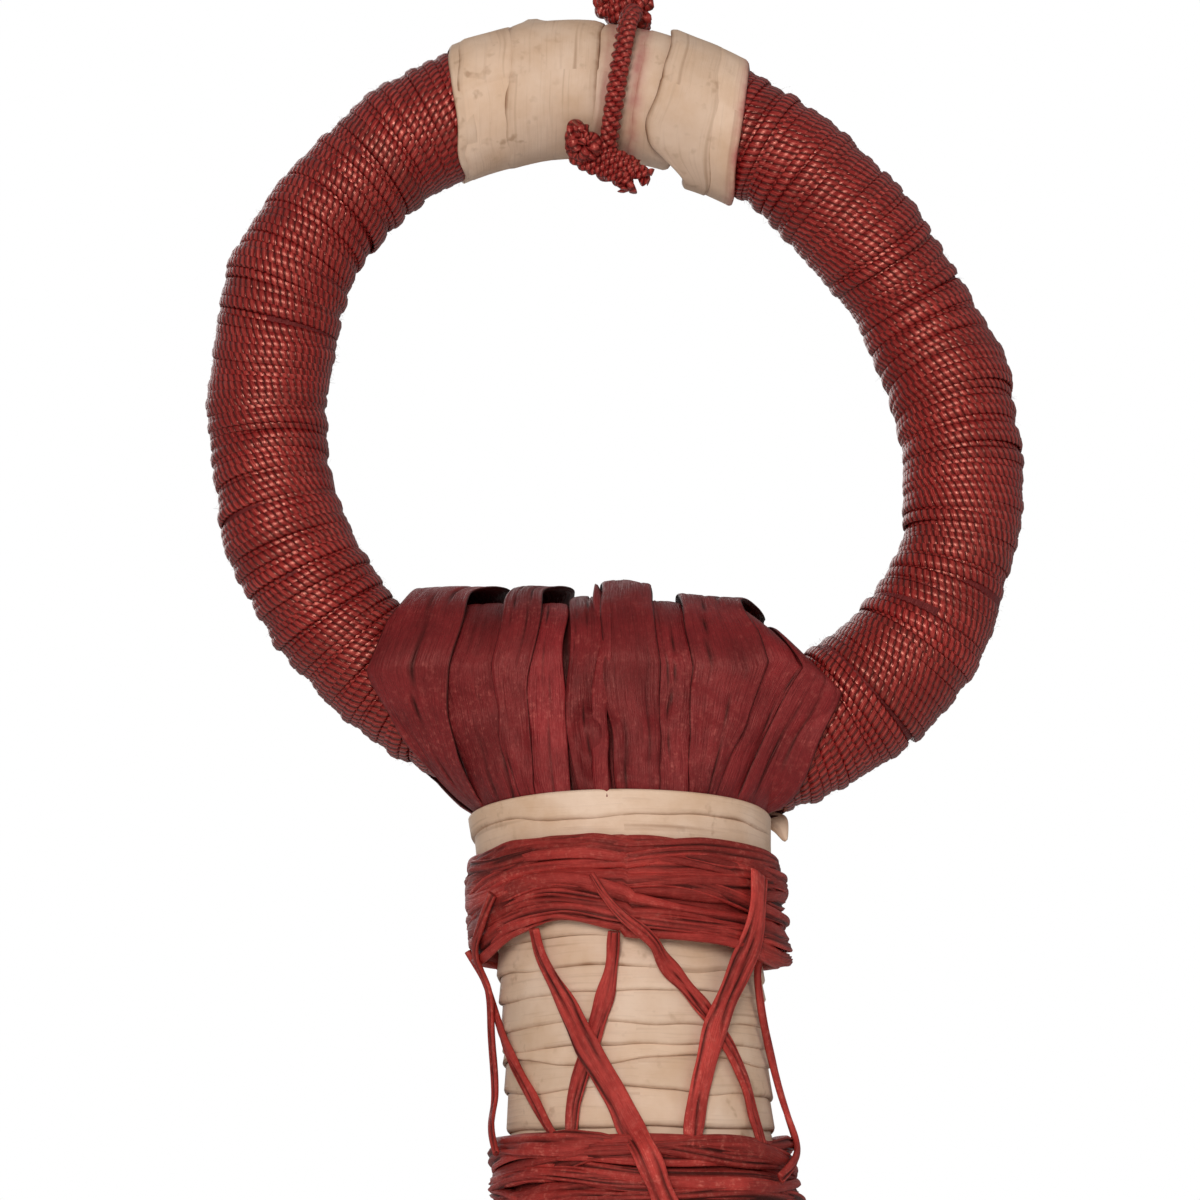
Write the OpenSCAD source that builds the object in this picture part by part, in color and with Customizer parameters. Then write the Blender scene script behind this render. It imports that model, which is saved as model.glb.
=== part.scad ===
// Ring-handled raffia whisk. A thread-wound ring is the handle and hanger, a hank of raffia is
// folded over the ring and lashed into a neck, and the hank's loose ends hang below as a skirt.
// Units are millimetres. +Z is up, -Y is the front, and the origin is the middle of the ring's eye.

/* [Ring] */
// Mean radius of the ring's centreline
ring_r = 43.9; // [42:0.1:53]
// How far the long and short radii stand off the mean
ring_oval = 2.5; // [0:0.1:3]
// Direction of the long radius, turned from +X
ring_oval_dir = -48.7; // [-60:0.1:-40]
// Size of the three-sided bump that makes the hand-bent hoop uneven
ring_bump = 0.5; // [0:0.1:1]
// How far the hank's pull flattens the ring's lowest part
ring_flat = 3.5; // [0:0.1:4]
// Radius of the wound tube
tube_r = 7.5; // [6.2:0.1:9]
// Thickness of the thread winding
winding_t = 1.0; // [0.6:0.1:1.4]
// Radius of the bent cane inside the tube
cane_r = 3.0; // [2:0.1:3.6]

/* [Crown] */
// Thickness of the husk strips around the ring's top
crown_wrap_t = 1.2; // [0.8:0.1:1.8]
// Radius of the tie's cord
tie_r = 1.35; // [1:0.05:1.6]
// Half the width of the knot on top of the crown
top_knot_w = 3.8; // [3:0.1:4.5]

/* [Fold] */
// Height of the fold's top over the wound tube, where the ring is lowest
fold_rise = 11.5; // [10.5:0.1:13.8]
// How far the fold's right end droops under its top
fold_droop = 9; // [8:0.1:9.6]
// How far the fold's ends stand off the wound tube, at the front and at the back
fold_end_t = 2.5; // [2.5:0.1:3.5]
// What the fold's middle adds to that
fold_belly = 5.5; // [4:0.1:7]
// Thickness of one raffia strip as it lies in the fold
strip_t = 0.7; // [0.5:0.1:0.8]

/* [Neck] */
// Gap between the wound tube's lowest point and the neck's top edge
neck_gap = 0.97; // [0.8:0.01:3]
// Where the neck's axis stands at its top, in X
neck_x = 1.1; // [0:0.1:2]
// How far the axis leans to +X for each millimetre down
neck_lean = 0.062; // [0:0.002:0.08]
// How far the husk collar stands out over the husk wrapping
collar_step = 2.35; // [2.2:0.05:3]
// Height of the collar, and of the like one at the neck's mouth
collar_h = 6; // [5:0.1:8]
// Wall of the collar
collar_t = 1.0; // [0.8:0.1:1.2]
// Radius of the husk wrapping
husk_r = 16.45; // [13.7:0.05:19.8]
// Thickness of the husk wrapping
husk_t = 1.2; // [0.8:0.1:1.4]
// Height of the husk left bare between the two lashings
bay_h = 22.3; // [18.5:0.1:26.8]
// Height of each raffia lashing
band_h = 11.5; // [9.5:0.1:13.8]
// Thickness of the upper lashing
upper_band_t = 3.45; // [2.9:0.05:4.15]
// Thickness of the lower lashing
lower_band_t = 2.35; // [2:0.05:4.15]
// Turns of raffia in each lashing
band_turns = 5; // [3:1:5]

/* [Lacing] */
// Width of a flattened lacing strand
lace_w = 1.9; // [1.2:0.1:2.2]
// Thickness of a flattened lacing strand
lace_t = 0.8; // [0.5:0.1:0.9]

/* [Skirt] */
// Length of the skirt below the neck's mouth
skirt_l = 229; // [185:1:280]
// Half the skirt's spread at its hem, side to side
skirt_w = 74; // [60:1:90]
// Half the skirt's depth at its hem, front to back
skirt_d = 29; // [24:1:40]
// Radius of the skirt's rounded head, centred on its pivot
skirt_head_r = 19; // [17:0.1:21]
// How far the hem hangs to -X of the pivot
skirt_drift = 6; // [0:1:10]

/* [Hidden] */
seat = 0.1;                 // gap between pieces that are wound or bound on each other
swing_gap = 0.5;            // gap between the neck's mouth and the swinging skirt
tube_sides = 16;            // corners of the ring's sections
ring_bump_dir = 94;
ring_flat_span = 24;        // degrees over which the flattening fades
crown_left = 114.7;         // ends of the crown's husk band, in degrees round the ring
crown_right = 67.6;
crown_edges = [crown_left, 104.4, 90.2, 83.4, crown_right];
crown_steps = [0, 0.25, 0, 0.35];
tie_dir = 88.3;             // the ring's angle at which the tie crosses it
crown_r = tube_r + seat + crown_wrap_t + max(crown_steps);
tie_loop_r = crown_r + seat + tie_r;
top_knot_r = 1.75;
lower_knot_r = 2.5;
lower_knot_dir = 145;       // degrees round the tube from its top, to the front

collar_r = husk_r + collar_step;
upper_band_r = husk_r + upper_band_t;
lower_band_r = husk_r + lower_band_t;
neck_top = -(ring_rad(-90) + tube_r + neck_gap);
collar_base = neck_top - collar_h;
band1_base = collar_base - band_h;
band2_top = band1_base - bay_h;
band2_base = band2_top - band_h;
mouth = band2_base - collar_h;
bark_r = husk_r - husk_t;    // inside of the husk wrapping
hank_r = bark_r - seat - neck_lean * band_h / 2;
fold_low_r = collar_r - collar_t - seat - neck_lean * collar_h / 2;
bed_r = tube_r + seat;      // what lies on the ring's winding starts here

fold_z = -ring_rad(-90) + tube_r + fold_rise;
fold_depth_end = tube_r + fold_end_t;
// Where the fold's ends cross the ring's centreline in X: at its top, at its widest, and at the collar.
left_at = [-32.05, -27.3, -13.9];
right_at = [27.75, 29.4, 17.3];
left_dirs = [for (x = left_at) dir_at(x)];
right_dirs = [for (x = right_at) dir_at(x)];
// The fold's own ends in X: at its top, and at its widest.
fold_left = [tube_pt(left_dirs[0], 90, tube_r + 1.65)[0], left_at[1] - 2];
fold_right = [tube_pt(right_dirs[0], 90, tube_r + 2.25)[0], right_at[1] - 2];
fold_shoulder = 10.5;        // height of the fold's rounded top
fold_tuck = 2;               // how deep the strips reach into the collar
front_low = 88;              // angle round the tube at which a strip enters the collar
strap_top = [0, 0.165, 0.265, 0.335, 0.41, 0.49, 0.60, 0.735, 0.845, 0.93, 1];
strap_low = [0, 0.08, 0.25, 0.28, 0.38, 0.465, 0.58, 0.66, 0.73, 0.82, 1];
strap_step = [0.15, 0.5, 0.15, 0.6, 0.3, 0, 0.45, 0.1, 0.55, 0.2];
strap_gap = 0.004;           // gap beside a strip, as a share of the fold's width
strap_count = len(strap_low) - 1;

// The bare courses and the laces' routes are drawn for a bay of this height, and stretch with it.
drawn_bay_h = 22.3;
bay_stretch = bay_h / drawn_bay_h;
bare_course_h = bay_stretch * [3.5, 2.7, 3.6, 2.5, 1.7, 3.6, 4.4];
first_course_h = band_h - 1; // the first and last courses lie mostly under the lashings
last_course_h = 2 * band_h + bay_h - 2 * seat - first_course_h - sum(bare_course_h);
course_h = concat([first_course_h], bare_course_h, [last_course_h]);
course_gap = 0.05;
course_flare = 0.3;          // how much wider a course's lower edge is than its upper

// Each lace's route: distance below the upper lashing's base, angle round the neck from the
// front to +X, and how far it stands off the husk where it crosses another lace.
lace_routes = [
    [[-5, -58, 0], [0, -72, 0], [7, -78, 1], [12, -80, 1], [16, -80, 0], [21, -72, 0], [24, -62, 0]],
    [[-1, -90, 0], [5, -88, 0], [10, -76, 0], [15, -58, 0], [19, -46, 0], [23, -35, 0]],
    [[1, -37, 0], [3.5, -36, 0], [8, -27, 0.4], [12, -20, 1], [16, -13, 0.4], [22.5, -3, 0], [29, 5, 0]],
    [[1, -8, 0], [4, -11, 0], [9, -16, 0], [13, -22, 0], [17, -27, 0], [22.5, -30, 0]],
    [[-6, -10, 0], [-1, 2, 0], [3, 14, 0], [8, 30, 0], [12, 41, 0], [17, 50, 0], [22.5, 55, 0]],
    [[-8, 53, 0], [-2, 47, 0], [2, 44, 0.3], [7.5, 34, 1.1], [13, 28, 0.3], [18, 23, 0], [22.5, 20, 0]],
    [[1, 60, 0], [6, 63, 0], [11, 70, 0], [16, 80, 0], [22.5, 84, 0]],
    [[-4, 118, 0], [6, 128, 0], [16, 148, 0], [25, 160, 0]],
    [[-4, 166, 0], [4, 152, 0.2], [10, 138, 1], [16, 126, 0.2], [25, 112, 0]],
    [[-4, -168, 0], [6, -152, 0], [16, -132, 0], [25, -118, 0]],
    [[-4, -114, 0], [4, -126, 0.2], [10, -142, 1], [16, -156, 0.2], [25, -172, 0]],
];

NODES = concat(
    ["ring_cane", "ring_padding", "ring_winding"],
    [for (i = [1:4]) str("crown_wrap_", i)],
    ["crown_tie_front", "crown_tie_back", "crown_tie_top_knot", "crown_tie_lower_knot",
     "crown_tie_tail_left", "crown_tie_tail_right"],
    ["fold_core", "fold_twist"],
    [for (i = [1:strap_count]) str("fold_strip_", i)],
    ["hank_core", "neck_collar", "collar_tail"],
    [for (i = [1:len(course_h)]) str("husk_course_", i)],
    [for (i = [1:band_turns]) str("upper_band_turn_", i)],
    [for (i = [1:band_turns]) str("lower_band_turn_", i)],
    [for (i = [1:len(lace_routes)]) str("lace_", i)],
    ["mouth_collar", "skirt"]
);
node = "all";
$fn = 48;

husk_colour = [0.86, 0.77, 0.64];
thread_colour = [0.47, 0.14, 0.12];
raffia_colour = [0.55, 0.18, 0.17];

// ---- The ring's centreline ----

function ring_rad(a) = ring_r + ring_oval * cos(2 * (a - ring_oval_dir))
    + ring_bump * cos(3 * (a - ring_bump_dir)) - ring_flat * exp(-pow((a + 90) / ring_flat_span, 2));
function ring_pt(a) = ring_rad(a) * [cos(a), 0, sin(a)];
// The ring's angle, on its lower half, at which the centreline has a given X.
function dir_at(x) = let (a = -acos(x / ring_r), b = -acos(x / ring_rad(a)), c = -acos(x / ring_rad(b)))
    -acos(x / ring_rad(c));
function unit(v) = v / norm(v);
// Direction from the centreline to the eye, square to the ring.
function ring_in(a) = let (d = unit(ring_pt(a + 0.5) - ring_pt(a - 0.5))) [-d[2], 0, d[0]];
// A point at distance r from the centreline: t is 0 at the front and 90 on the side of the eye.
function tube_pt(a, t, r) = ring_pt(a) + r * (sin(t) * ring_in(a) - cos(t) * [0, 1, 0]);
function tube_section(a, r) = [for (k = [0:tube_sides - 1]) tube_pt(a, 360 * k / tube_sides, r)];
function steps(from, to, n) = [for (k = [0:n]) from + (to - from) * k / n];
function mix(a, b, s) = a + (b - a) * s;
function sum(v, i = 0) = i < len(v) ? v[i] + sum(v, i + 1) : 0;
function over(s) = s <= 0 ? 0 : s >= 1 ? 1 : s * s * (3 - 2 * s);
// Angles run from -270 to 90, so that the flattening has its middle at -90.
function below(a) = a > 90 ? a - 360 : a;

// ---- Skins ----

function band_faces(i, j, n, flip) = [for (k = [0:n - 1]) let (l = (k + 1) % n)
    each flip ? [[i + k, j + k, i + l], [i + l, j + k, j + l]]
              : [[i + k, i + l, j + k], [i + l, j + l, j + k]]];

// Joins equal rings of points into one solid, closed by a fan at each end.
module skin(rings, flip = false) {
    n = len(rings[0]);
    last = n * (len(rings) - 1);
    polyhedron(
        points = [for (r = rings) each r],
        faces = concat(
            [for (i = [0:len(rings) - 2]) each band_faces(i * n, (i + 1) * n, n, flip)],
            [for (k = [1:n - 2]) flip ? [0, k, k + 1] : [0, k + 1, k]],
            [for (k = [1:n - 2]) flip ? [last, last + k + 1, last + k] : [last, last + k, last + k + 1]]
        ),
        convexity = 8
    );
}

// A pipe between equal outer and inner rings, with a flat wall at each end.
module pipe(outer, inner, flip = false) {
    n = len(outer[0]);
    half = n * len(outer);
    last = n * (len(outer) - 1);
    polyhedron(
        points = concat([for (r = outer) each r], [for (r = inner) each r]),
        faces = concat(
            [for (i = [0:len(outer) - 2]) each band_faces(i * n, (i + 1) * n, n, flip)],
            [for (i = [0:len(inner) - 2]) each band_faces(half + i * n, half + (i + 1) * n, n, !flip)],
            band_faces(0, half, n, !flip),
            band_faces(last, half + last, n, flip)
        ),
        convexity = 8
    );
}

module ring_pipe(from, to, r_in, r_out, n) {
    stations = steps(from, to, n);
    pipe([for (a = stations) tube_section(below(a), r_out)],
         [for (a = stations) tube_section(below(a), r_in)]);
}

// ---- Ring: bent cane, husk padding and thread, open by a hair where the hoop's ends meet ----

hoop_from = 92;
hoop_to = 448;

module ring_cane() color("tan")
    skin([for (a = steps(hoop_from, hoop_to, 60)) tube_section(below(a), cane_r)]);

module ring_padding() color(husk_colour)
    ring_pipe(hoop_from, hoop_to, cane_r + seat, tube_r - winding_t - seat, 60);

module ring_winding() color(thread_colour)
    ring_pipe(hoop_from, hoop_to, tube_r - winding_t, tube_r, 60);

// ---- Crown: husk strips round the ring's top, and a cord tied over them ----

// A section whose points all stand at one X, because the strips' edges are upright.
function upright(a, t, r) = acos(ring_rad(a) * cos(a) / (ring_rad(a) - r * sin(t)));
function crown_section(a, r) = [for (k = [0:tube_sides - 1]) let (t = 360 * k / tube_sides)
    tube_pt(upright(a, t, r), t, r)];

module crown_wrap(i) color(husk_colour) {
    stations = steps(crown_edges[i - 1] - 0.1, crown_edges[i] + 0.1, 4);
    r = bed_r + crown_wrap_t + crown_steps[i - 1];
    pipe([for (a = stations) crown_section(a, r)], [for (a = stations) crown_section(a, bed_r)]);
}

// Places its children at the crown's middle, with Z along the ring and +X down.
module at_tie() translate(ring_pt(tie_dir)) rotate([0, 90, 0]) children();

module tie_arc(from, span) color(raffia_colour)
    at_tie() rotate([0, 0, from]) rotate_extrude(angle = span) translate([tie_loop_r, 0]) circle(tie_r);

knot_half_angle = asin((top_knot_r + tie_r * 1.2) / tie_loop_r);
lower_knot_half_angle = asin((lower_knot_r + 0.4) / (tie_loop_r + 1));

module crown_tie_front()
    tie_arc(180 + knot_half_angle, lower_knot_dir - knot_half_angle - lower_knot_half_angle);

module crown_tie_back()
    tie_arc(180 - knot_half_angle, -(360 - lower_knot_dir - knot_half_angle - lower_knot_half_angle));

module crown_tie_top_knot() color(raffia_colour) at_tie()
    hull() for (s = [-1, 1]) translate([-crown_r - 2 * seat - top_knot_r, 0, s * (top_knot_w - top_knot_r)])
        sphere(top_knot_r, $fn = 16);

lower_knot_pos = ring_pt(tie_dir) + (crown_r + seat + lower_knot_r)
    * [0, -sin(lower_knot_dir), cos(lower_knot_dir)];

module crown_tie_lower_knot() color(raffia_colour) translate(lower_knot_pos)
    hull() for (p = [[-2.6, -0.6, 0.3], [1.2, 0, -0.2]]) translate(p) sphere(lower_knot_r, $fn = 16);

module tail(dir, l) color(raffia_colour)
    translate(lower_knot_pos + dir * (lower_knot_r + tie_r + 0.2)) hull() {
        sphere(tie_r, $fn = 12);
        translate(dir * l) sphere(tie_r * 0.8, $fn = 12);
    }

module crown_tie_tail_left() translate([-2.6, -0.6, 0.3]) tail(unit([-0.5, -0.5, 0.7]), 1.5);
module crown_tie_tail_right() translate([1.2, 0, -0.2]) tail(unit([0.8, -0.1, -0.45]), 1.6);

// ---- Fold: the hank's strips, up the front, over the ring and down the back ----

function past(u, start) = max(0, (u - start) / (1 - start));
function fold_top(u) = [mix(fold_left[0], fold_right[0], u), 0,
    fold_z - fold_droop * (0.25 * over((u - 0.55) / 0.3) + 0.75 * pow(past(u, 0.85), 1.5))];
function fold_side(u) = [mix(fold_left[1], fold_right[1], u),
    -(fold_depth_end + fold_belly * pow(max(0, sin(180 * u)), 0.7)),
    fold_top(u)[2] - fold_shoulder * (1 - 0.6 * past(u, 0.8))];
function fold_low(u) = let (a = -83 + 166 * u)
    [neck_x + fold_low_r * sin(a), -fold_low_r * cos(a), neck_top + 0.3];
function mirrored(p) = [p[0], -p[1], p[2]];

// Moves a point that is nearer to the ring's centreline than r out to that distance.
function clear_of_ring(p, r) = let (c = ring_pt(atan2(p[2], p[0])), d = norm(p - c))
    d >= r ? p : c + (p - c) * r / d;

// The fold's outside: u is 0 at its left end and 1 at its right, and t turns from the collar's
// front (-front_low) over the top (90) to the collar's back (180 + front_low).
function fold_out(u, t) = t > 90 ? mirrored(fold_out(u, 180 - t))
    : t >= 0 ? let (m = fold_side(u), p = fold_top(u))
        [mix(m[0], p[0], sin(t)), m[1] * cos(t), mix(m[2], p[2], sin(t))]
    : let (m = fold_side(u), p = fold_low(u), s = -t / front_low)
        clear_of_ring([mix(m[0], p[0], pow(s, 1.35)), mix(m[1], p[1], s), mix(m[2], p[2], s)],
                      bed_r + seat + strip_squeeze(t) * strip_t);

// The bed on the ring's winding that the fold lies on, over the same u and t.
function bed_end(dirs, t) = t >= 0 ? mix(dirs[1], dirs[0], sin(t)) : mix(dirs[1], dirs[2], -t / front_low);
function fold_bed(u, t) = let (f = t > 90 ? 180 - t : t)
    tube_pt(mix(bed_end(left_dirs, f), bed_end(right_dirs, f), u), t, bed_r);

// The fold's outward normal, and the direction in which its layers lie on each other: mostly square
// to the outside, and partly towards the bed.
function fold_normal(u, t) = unit(cross(fold_out(u + 0.01, t) - fold_out(u - 0.01, t),
                                        fold_out(u, t + 1) - fold_out(u, t - 1)));
function fold_inward(u, t) = unit(unit(fold_bed(u, t) - fold_out(u, t)) - 2 * fold_normal(u, t));
// A point at a depth under the fold's outside.
function fold_pt(u, t, depth) = fold_out(u, t) + fold_inward(u, t) * depth;

function down_tuck(p) = [p[0] + neck_lean * fold_tuck, p[1], neck_top - fold_tuck];
fold_turns = steps(-front_low, 180 + front_low, 18);
function strap_share(t) = max(0, -(t > 90 ? 180 - t : t) / front_low);
function strap_u(i, t) = mix(strap_top[i], strap_low[i], strap_share(t));
// A strip is thinner where the collar squeezes it.
function strip_squeeze(t) = mix(1, 0.6, pow(strap_share(t), 3));
function strap_section(i, t, depth) =
    let (u0 = strap_u(i, t) + strap_gap, u1 = strap_u(i + 1, t) - strap_gap)
    concat([for (u = steps(u0, u1, 2)) fold_pt(u, t, depth)],
           [for (u = steps(u1, u0, 2)) fold_pt(u, t, depth + strip_squeeze(t) * strip_t)]);

module fold_strip(i) color(raffia_colour) {
    rings = [for (t = fold_turns) strap_section(i - 1, t, -strap_step[i - 1])];
    tucked = [for (t = [-front_low, 180 + front_low]) strap_section(i - 1, t, 0)];
    skin(concat([[for (p = tucked[0]) down_tuck(p)]], [tucked[0]],
                [for (k = [1:len(rings) - 2]) rings[k]],
                [tucked[1]], [[for (p = tucked[1]) down_tuck(p)]]));
}

// One narrow twisted strip that lies on the others.
module fold_twist() color(raffia_colour) {
    w = 0.02;
    stand = -max(strap_step) - seat;
    turns = [for (t = fold_turns) if (t >= -60 && t <= 240) t];
    skin([for (t = turns) concat([for (u = [0.5 - w, 0.5, 0.5 + w]) fold_pt(u, t, stand - strip_t)],
                                 [for (u = [0.5 + w, 0.5, 0.5 - w]) fold_pt(u, t, stand)])]);
}

// The packed strips between the outer ones and the ring.
module fold_core() color(raffia_colour) {
    us = steps(0.1, 0.9, 13);
    depth = strip_t + 3 * seat;
    skin([for (t = fold_turns) concat([for (u = us) fold_pt(u, t, depth)],
                                      [for (k = [len(us) - 1:-1:0]) fold_bed(us[k], t)])]);
}

// ---- Neck ----

function axis_x(z) = neck_x + neck_lean * (neck_top - z);

// A round band about the neck's axis, between two heights, with its own radii at each.
module neck_band(top, base, r_in, r_top, r_base)
    translate([axis_x((top + base) / 2), 0, 0]) rotate_extrude()
        polygon([[r_in, base], [r_base, base], [r_top, top], [r_in, top]]);

// The hank below the fold. Its upper part fills the collar, and the rest fills the husk.
module hank_core() color(raffia_colour) {
    wide_r = fold_low_r - strip_t - seat;
    hull() {
        translate([axis_x(collar_base), 0, collar_base]) cylinder(r = hank_r, h = 0.5);
        translate([axis_x(neck_top), 0, neck_top - 0.5]) cylinder(r = wide_r, h = 0.5);
    }
    hull() {
        translate([axis_x(collar_base), 0, collar_base]) cylinder(r = hank_r, h = 0.5);
        translate([axis_x(mouth), 0, mouth]) cylinder(r = hank_r, h = 0.5);
    }
}

module neck_collar() color(husk_colour)
    neck_band(neck_top, collar_base, collar_r - collar_t, collar_r, collar_r - 0.7);

module mouth_collar() color(husk_colour)
    neck_band(band2_base - seat, mouth, bark_r, husk_r + 0.9, husk_r + 0.5);

// The collar strip's loose end, pointing out to the right behind the neck.
module collar_tail() color(husk_colour) hull() {
    translate([neck_x + collar_r + seat, 3, neck_top - 1]) rotate([0, 90, 0]) cylinder(r = 1, h = 0.6);
    translate([neck_x + collar_r + 3, 4, neck_top - 1]) rotate([0, 90, 0]) cylinder(r = 0.5, h = 0.5);
}

function course_top(i) = i == 0 ? collar_base - seat : course_top(i - 1) - course_h[i - 1];

module husk_course(i) color(husk_colour) {
    top = course_top(i - 1) - course_gap;
    base = course_top(i);
    neck_band(top, base, bark_r, husk_r - course_flare, husk_r);
}

// One turn of a lashing: an oval section, crumpled raffia packed on the husk.
module band_turn(top, i, r) color(raffia_colour) {
    pitch = band_h / band_turns;
    z = top - pitch * (i - 0.5);
    r_in = husk_r + seat + 0.3;
    mid = (r + r_in) / 2;
    bulge = i % 2 == 0 ? 0 : 0.35;
    translate([axis_x(z), 0, z]) rotate_extrude()
        polygon([for (a = [0:30:330]) [mid + (r - bulge - r_in) / 2 * cos(a),
                                       (pitch - seat) / 2 * sign(sin(a)) * sqrt(abs(sin(a)))]]);
}

module upper_band_turn(i) band_turn(collar_base, i, upper_band_r);
module lower_band_turn(i) band_turn(band2_top, i, lower_band_r);

// ---- Lacing ----

// How far out a lace lies: on the husk in the bay, and on the lashings beyond it.
function lace_bed(d) = max(
    mix(husk_r, upper_band_r, over(1.25 - d / 1.6)),
    mix(husk_r, lower_band_r, over((d - bay_h) / 1.6 + 1.25))) + 0.15;
function lace_pt(p, r, side) = let (z = band1_base - p[0], a = p[1])
    [axis_x(z) + r * sin(a) + side * cos(a), -r * cos(a) + side * sin(a), z];
// A route with a point set between each two of its own, for smoother bends.
function finer(route) = [for (k = [0:2 * (len(route) - 1)])
    k % 2 == 0 ? route[k / 2] : (route[(k - 1) / 2] + route[(k + 1) / 2]) / 2];

module lace(i) color(raffia_colour) {
    drawn = [for (p = lace_routes[i - 1]) [max(p[0], 0) * bay_stretch + min(p[0], 0), p[1], p[2]]];
    skin([for (p = finer(finer(drawn))) let (r = lace_bed(p[0]) + p[2], w = lace_w / 2, t = lace_t)
        [lace_pt(p, r, -w), lace_pt(p, r + t * 0.8, -w * 0.7), lace_pt(p, r + t, 0),
         lace_pt(p, r + t * 0.8, w * 0.7), lace_pt(p, r, w)]]);
}

// ---- Skirt ----

pivot_z = mouth - swing_gap - skirt_head_r;
hem_z = mouth - skirt_l;

function skirt_ring(x, z, w, d) = [for (k = [0:23]) [x + w * cos(15 * k), d * sin(15 * k), z]];

module skirt() color(raffia_colour) {
    x = axis_x(mouth);
    head = [for (a = [4, 20, 40, 60, 75]) skirt_ring(x, pivot_z + skirt_head_r * cos(a),
        skirt_head_r * sin(a), skirt_head_r * sin(a))];
    fall = [for (s = steps(0, 1, 12)) skirt_ring(x - skirt_drift * s, mix(pivot_z, hem_z, s),
        mix(skirt_head_r, skirt_w, pow(s, 0.8)), mix(skirt_head_r, skirt_d, pow(s, 0.8)))];
    skin(concat(head, fall));
}

// ---- Which nodes to draw ----

function wanted(name) = node == "all" || node == name;

if (wanted("ring_cane")) ring_cane();
if (wanted("ring_padding")) ring_padding();
if (wanted("ring_winding")) ring_winding();
for (i = [1:4]) if (wanted(str("crown_wrap_", i))) crown_wrap(i);
if (wanted("crown_tie_front")) crown_tie_front();
if (wanted("crown_tie_back")) crown_tie_back();
if (wanted("crown_tie_top_knot")) crown_tie_top_knot();
if (wanted("crown_tie_lower_knot")) crown_tie_lower_knot();
if (wanted("crown_tie_tail_left")) crown_tie_tail_left();
if (wanted("crown_tie_tail_right")) crown_tie_tail_right();
if (wanted("fold_core")) fold_core();
if (wanted("fold_twist")) fold_twist();
for (i = [1:strap_count]) if (wanted(str("fold_strip_", i))) fold_strip(i);
if (wanted("hank_core")) hank_core();
if (wanted("neck_collar")) neck_collar();
if (wanted("collar_tail")) collar_tail();
for (i = [1:len(course_h)]) if (wanted(str("husk_course_", i))) husk_course(i);
for (i = [1:band_turns]) if (wanted(str("upper_band_turn_", i))) upper_band_turn(i);
for (i = [1:band_turns]) if (wanted(str("lower_band_turn_", i))) lower_band_turn(i);
for (i = [1:len(lace_routes)]) if (wanted(str("lace_", i))) lace(i);
if (wanted("mouth_collar")) mouth_collar();
if (wanted("skirt")) skirt();
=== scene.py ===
"""Ring-handled raffia whisk: thread-wound ring, husk-bound crown and neck, raffia fold, lashings and skirt.

Laid out as a Blender add-on and run as a script. Shapes are worked out in millimetres and put into
the mesh in metres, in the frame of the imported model.
"""
import math

import bpy
import numpy as np
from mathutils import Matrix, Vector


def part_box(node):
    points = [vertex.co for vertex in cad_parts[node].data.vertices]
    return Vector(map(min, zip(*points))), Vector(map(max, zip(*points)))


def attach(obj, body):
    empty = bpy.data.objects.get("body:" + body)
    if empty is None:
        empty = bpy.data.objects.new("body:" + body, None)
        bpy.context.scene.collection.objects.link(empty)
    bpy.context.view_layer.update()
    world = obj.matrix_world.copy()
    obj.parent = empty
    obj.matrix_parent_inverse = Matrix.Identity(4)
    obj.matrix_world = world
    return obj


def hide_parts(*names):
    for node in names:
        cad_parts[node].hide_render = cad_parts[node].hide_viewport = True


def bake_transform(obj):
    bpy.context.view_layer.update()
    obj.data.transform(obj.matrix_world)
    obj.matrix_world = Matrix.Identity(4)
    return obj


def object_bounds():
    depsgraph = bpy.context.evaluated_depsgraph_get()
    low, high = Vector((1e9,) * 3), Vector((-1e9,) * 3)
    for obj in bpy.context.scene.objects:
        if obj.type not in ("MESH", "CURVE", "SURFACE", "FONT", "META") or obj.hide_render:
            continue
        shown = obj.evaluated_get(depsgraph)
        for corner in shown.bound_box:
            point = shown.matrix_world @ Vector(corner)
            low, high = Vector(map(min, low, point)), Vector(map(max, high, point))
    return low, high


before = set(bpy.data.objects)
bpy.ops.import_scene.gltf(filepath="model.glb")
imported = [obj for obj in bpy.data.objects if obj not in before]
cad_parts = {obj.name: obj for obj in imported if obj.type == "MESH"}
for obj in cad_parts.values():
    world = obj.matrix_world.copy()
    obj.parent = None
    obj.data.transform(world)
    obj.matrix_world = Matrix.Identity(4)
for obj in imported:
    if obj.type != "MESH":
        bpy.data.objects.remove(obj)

bl_info = {
    "name": "Raffia Whisk",
    "version": (1, 0, 0),
    "blender": (4, 5, 0),
    "location": "View3D > Sidebar > Whisk",
    "description": "Builds a ring-handled raffia whisk around its packed frame",
    "category": "Add Mesh",
}

MM = 0.001
TAU = 2 * math.pi
CAD_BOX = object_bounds()


# ---------------------------------------------------------------- places that come from the frame

def span(node):
    """Lowest and highest corner of a CAD node at rest, in millimetres."""
    low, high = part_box(node)
    return np.array(low) / MM, np.array(high) / MM


def middle(node):
    """Middle of a CAD node's box, in millimetres."""
    low, high = span(node)
    return (low + high) / 2


def width(node, axis=0):
    """Extent of a CAD node along one axis, in millimetres."""
    low, high = span(node)
    return high[axis] - low[axis]


def numbered(stem):
    """The CAD nodes that share a stem, in the order of their numbers."""
    names = [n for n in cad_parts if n.startswith(stem) and n[len(stem):].isdigit()]
    return sorted(names, key=lambda n: int(n[len(stem):]))


HARMONICS = 9  # waves used for the ring's shape
RING_R = 44.0  # the ring's mean radius, for patterns and for small angles round it


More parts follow.
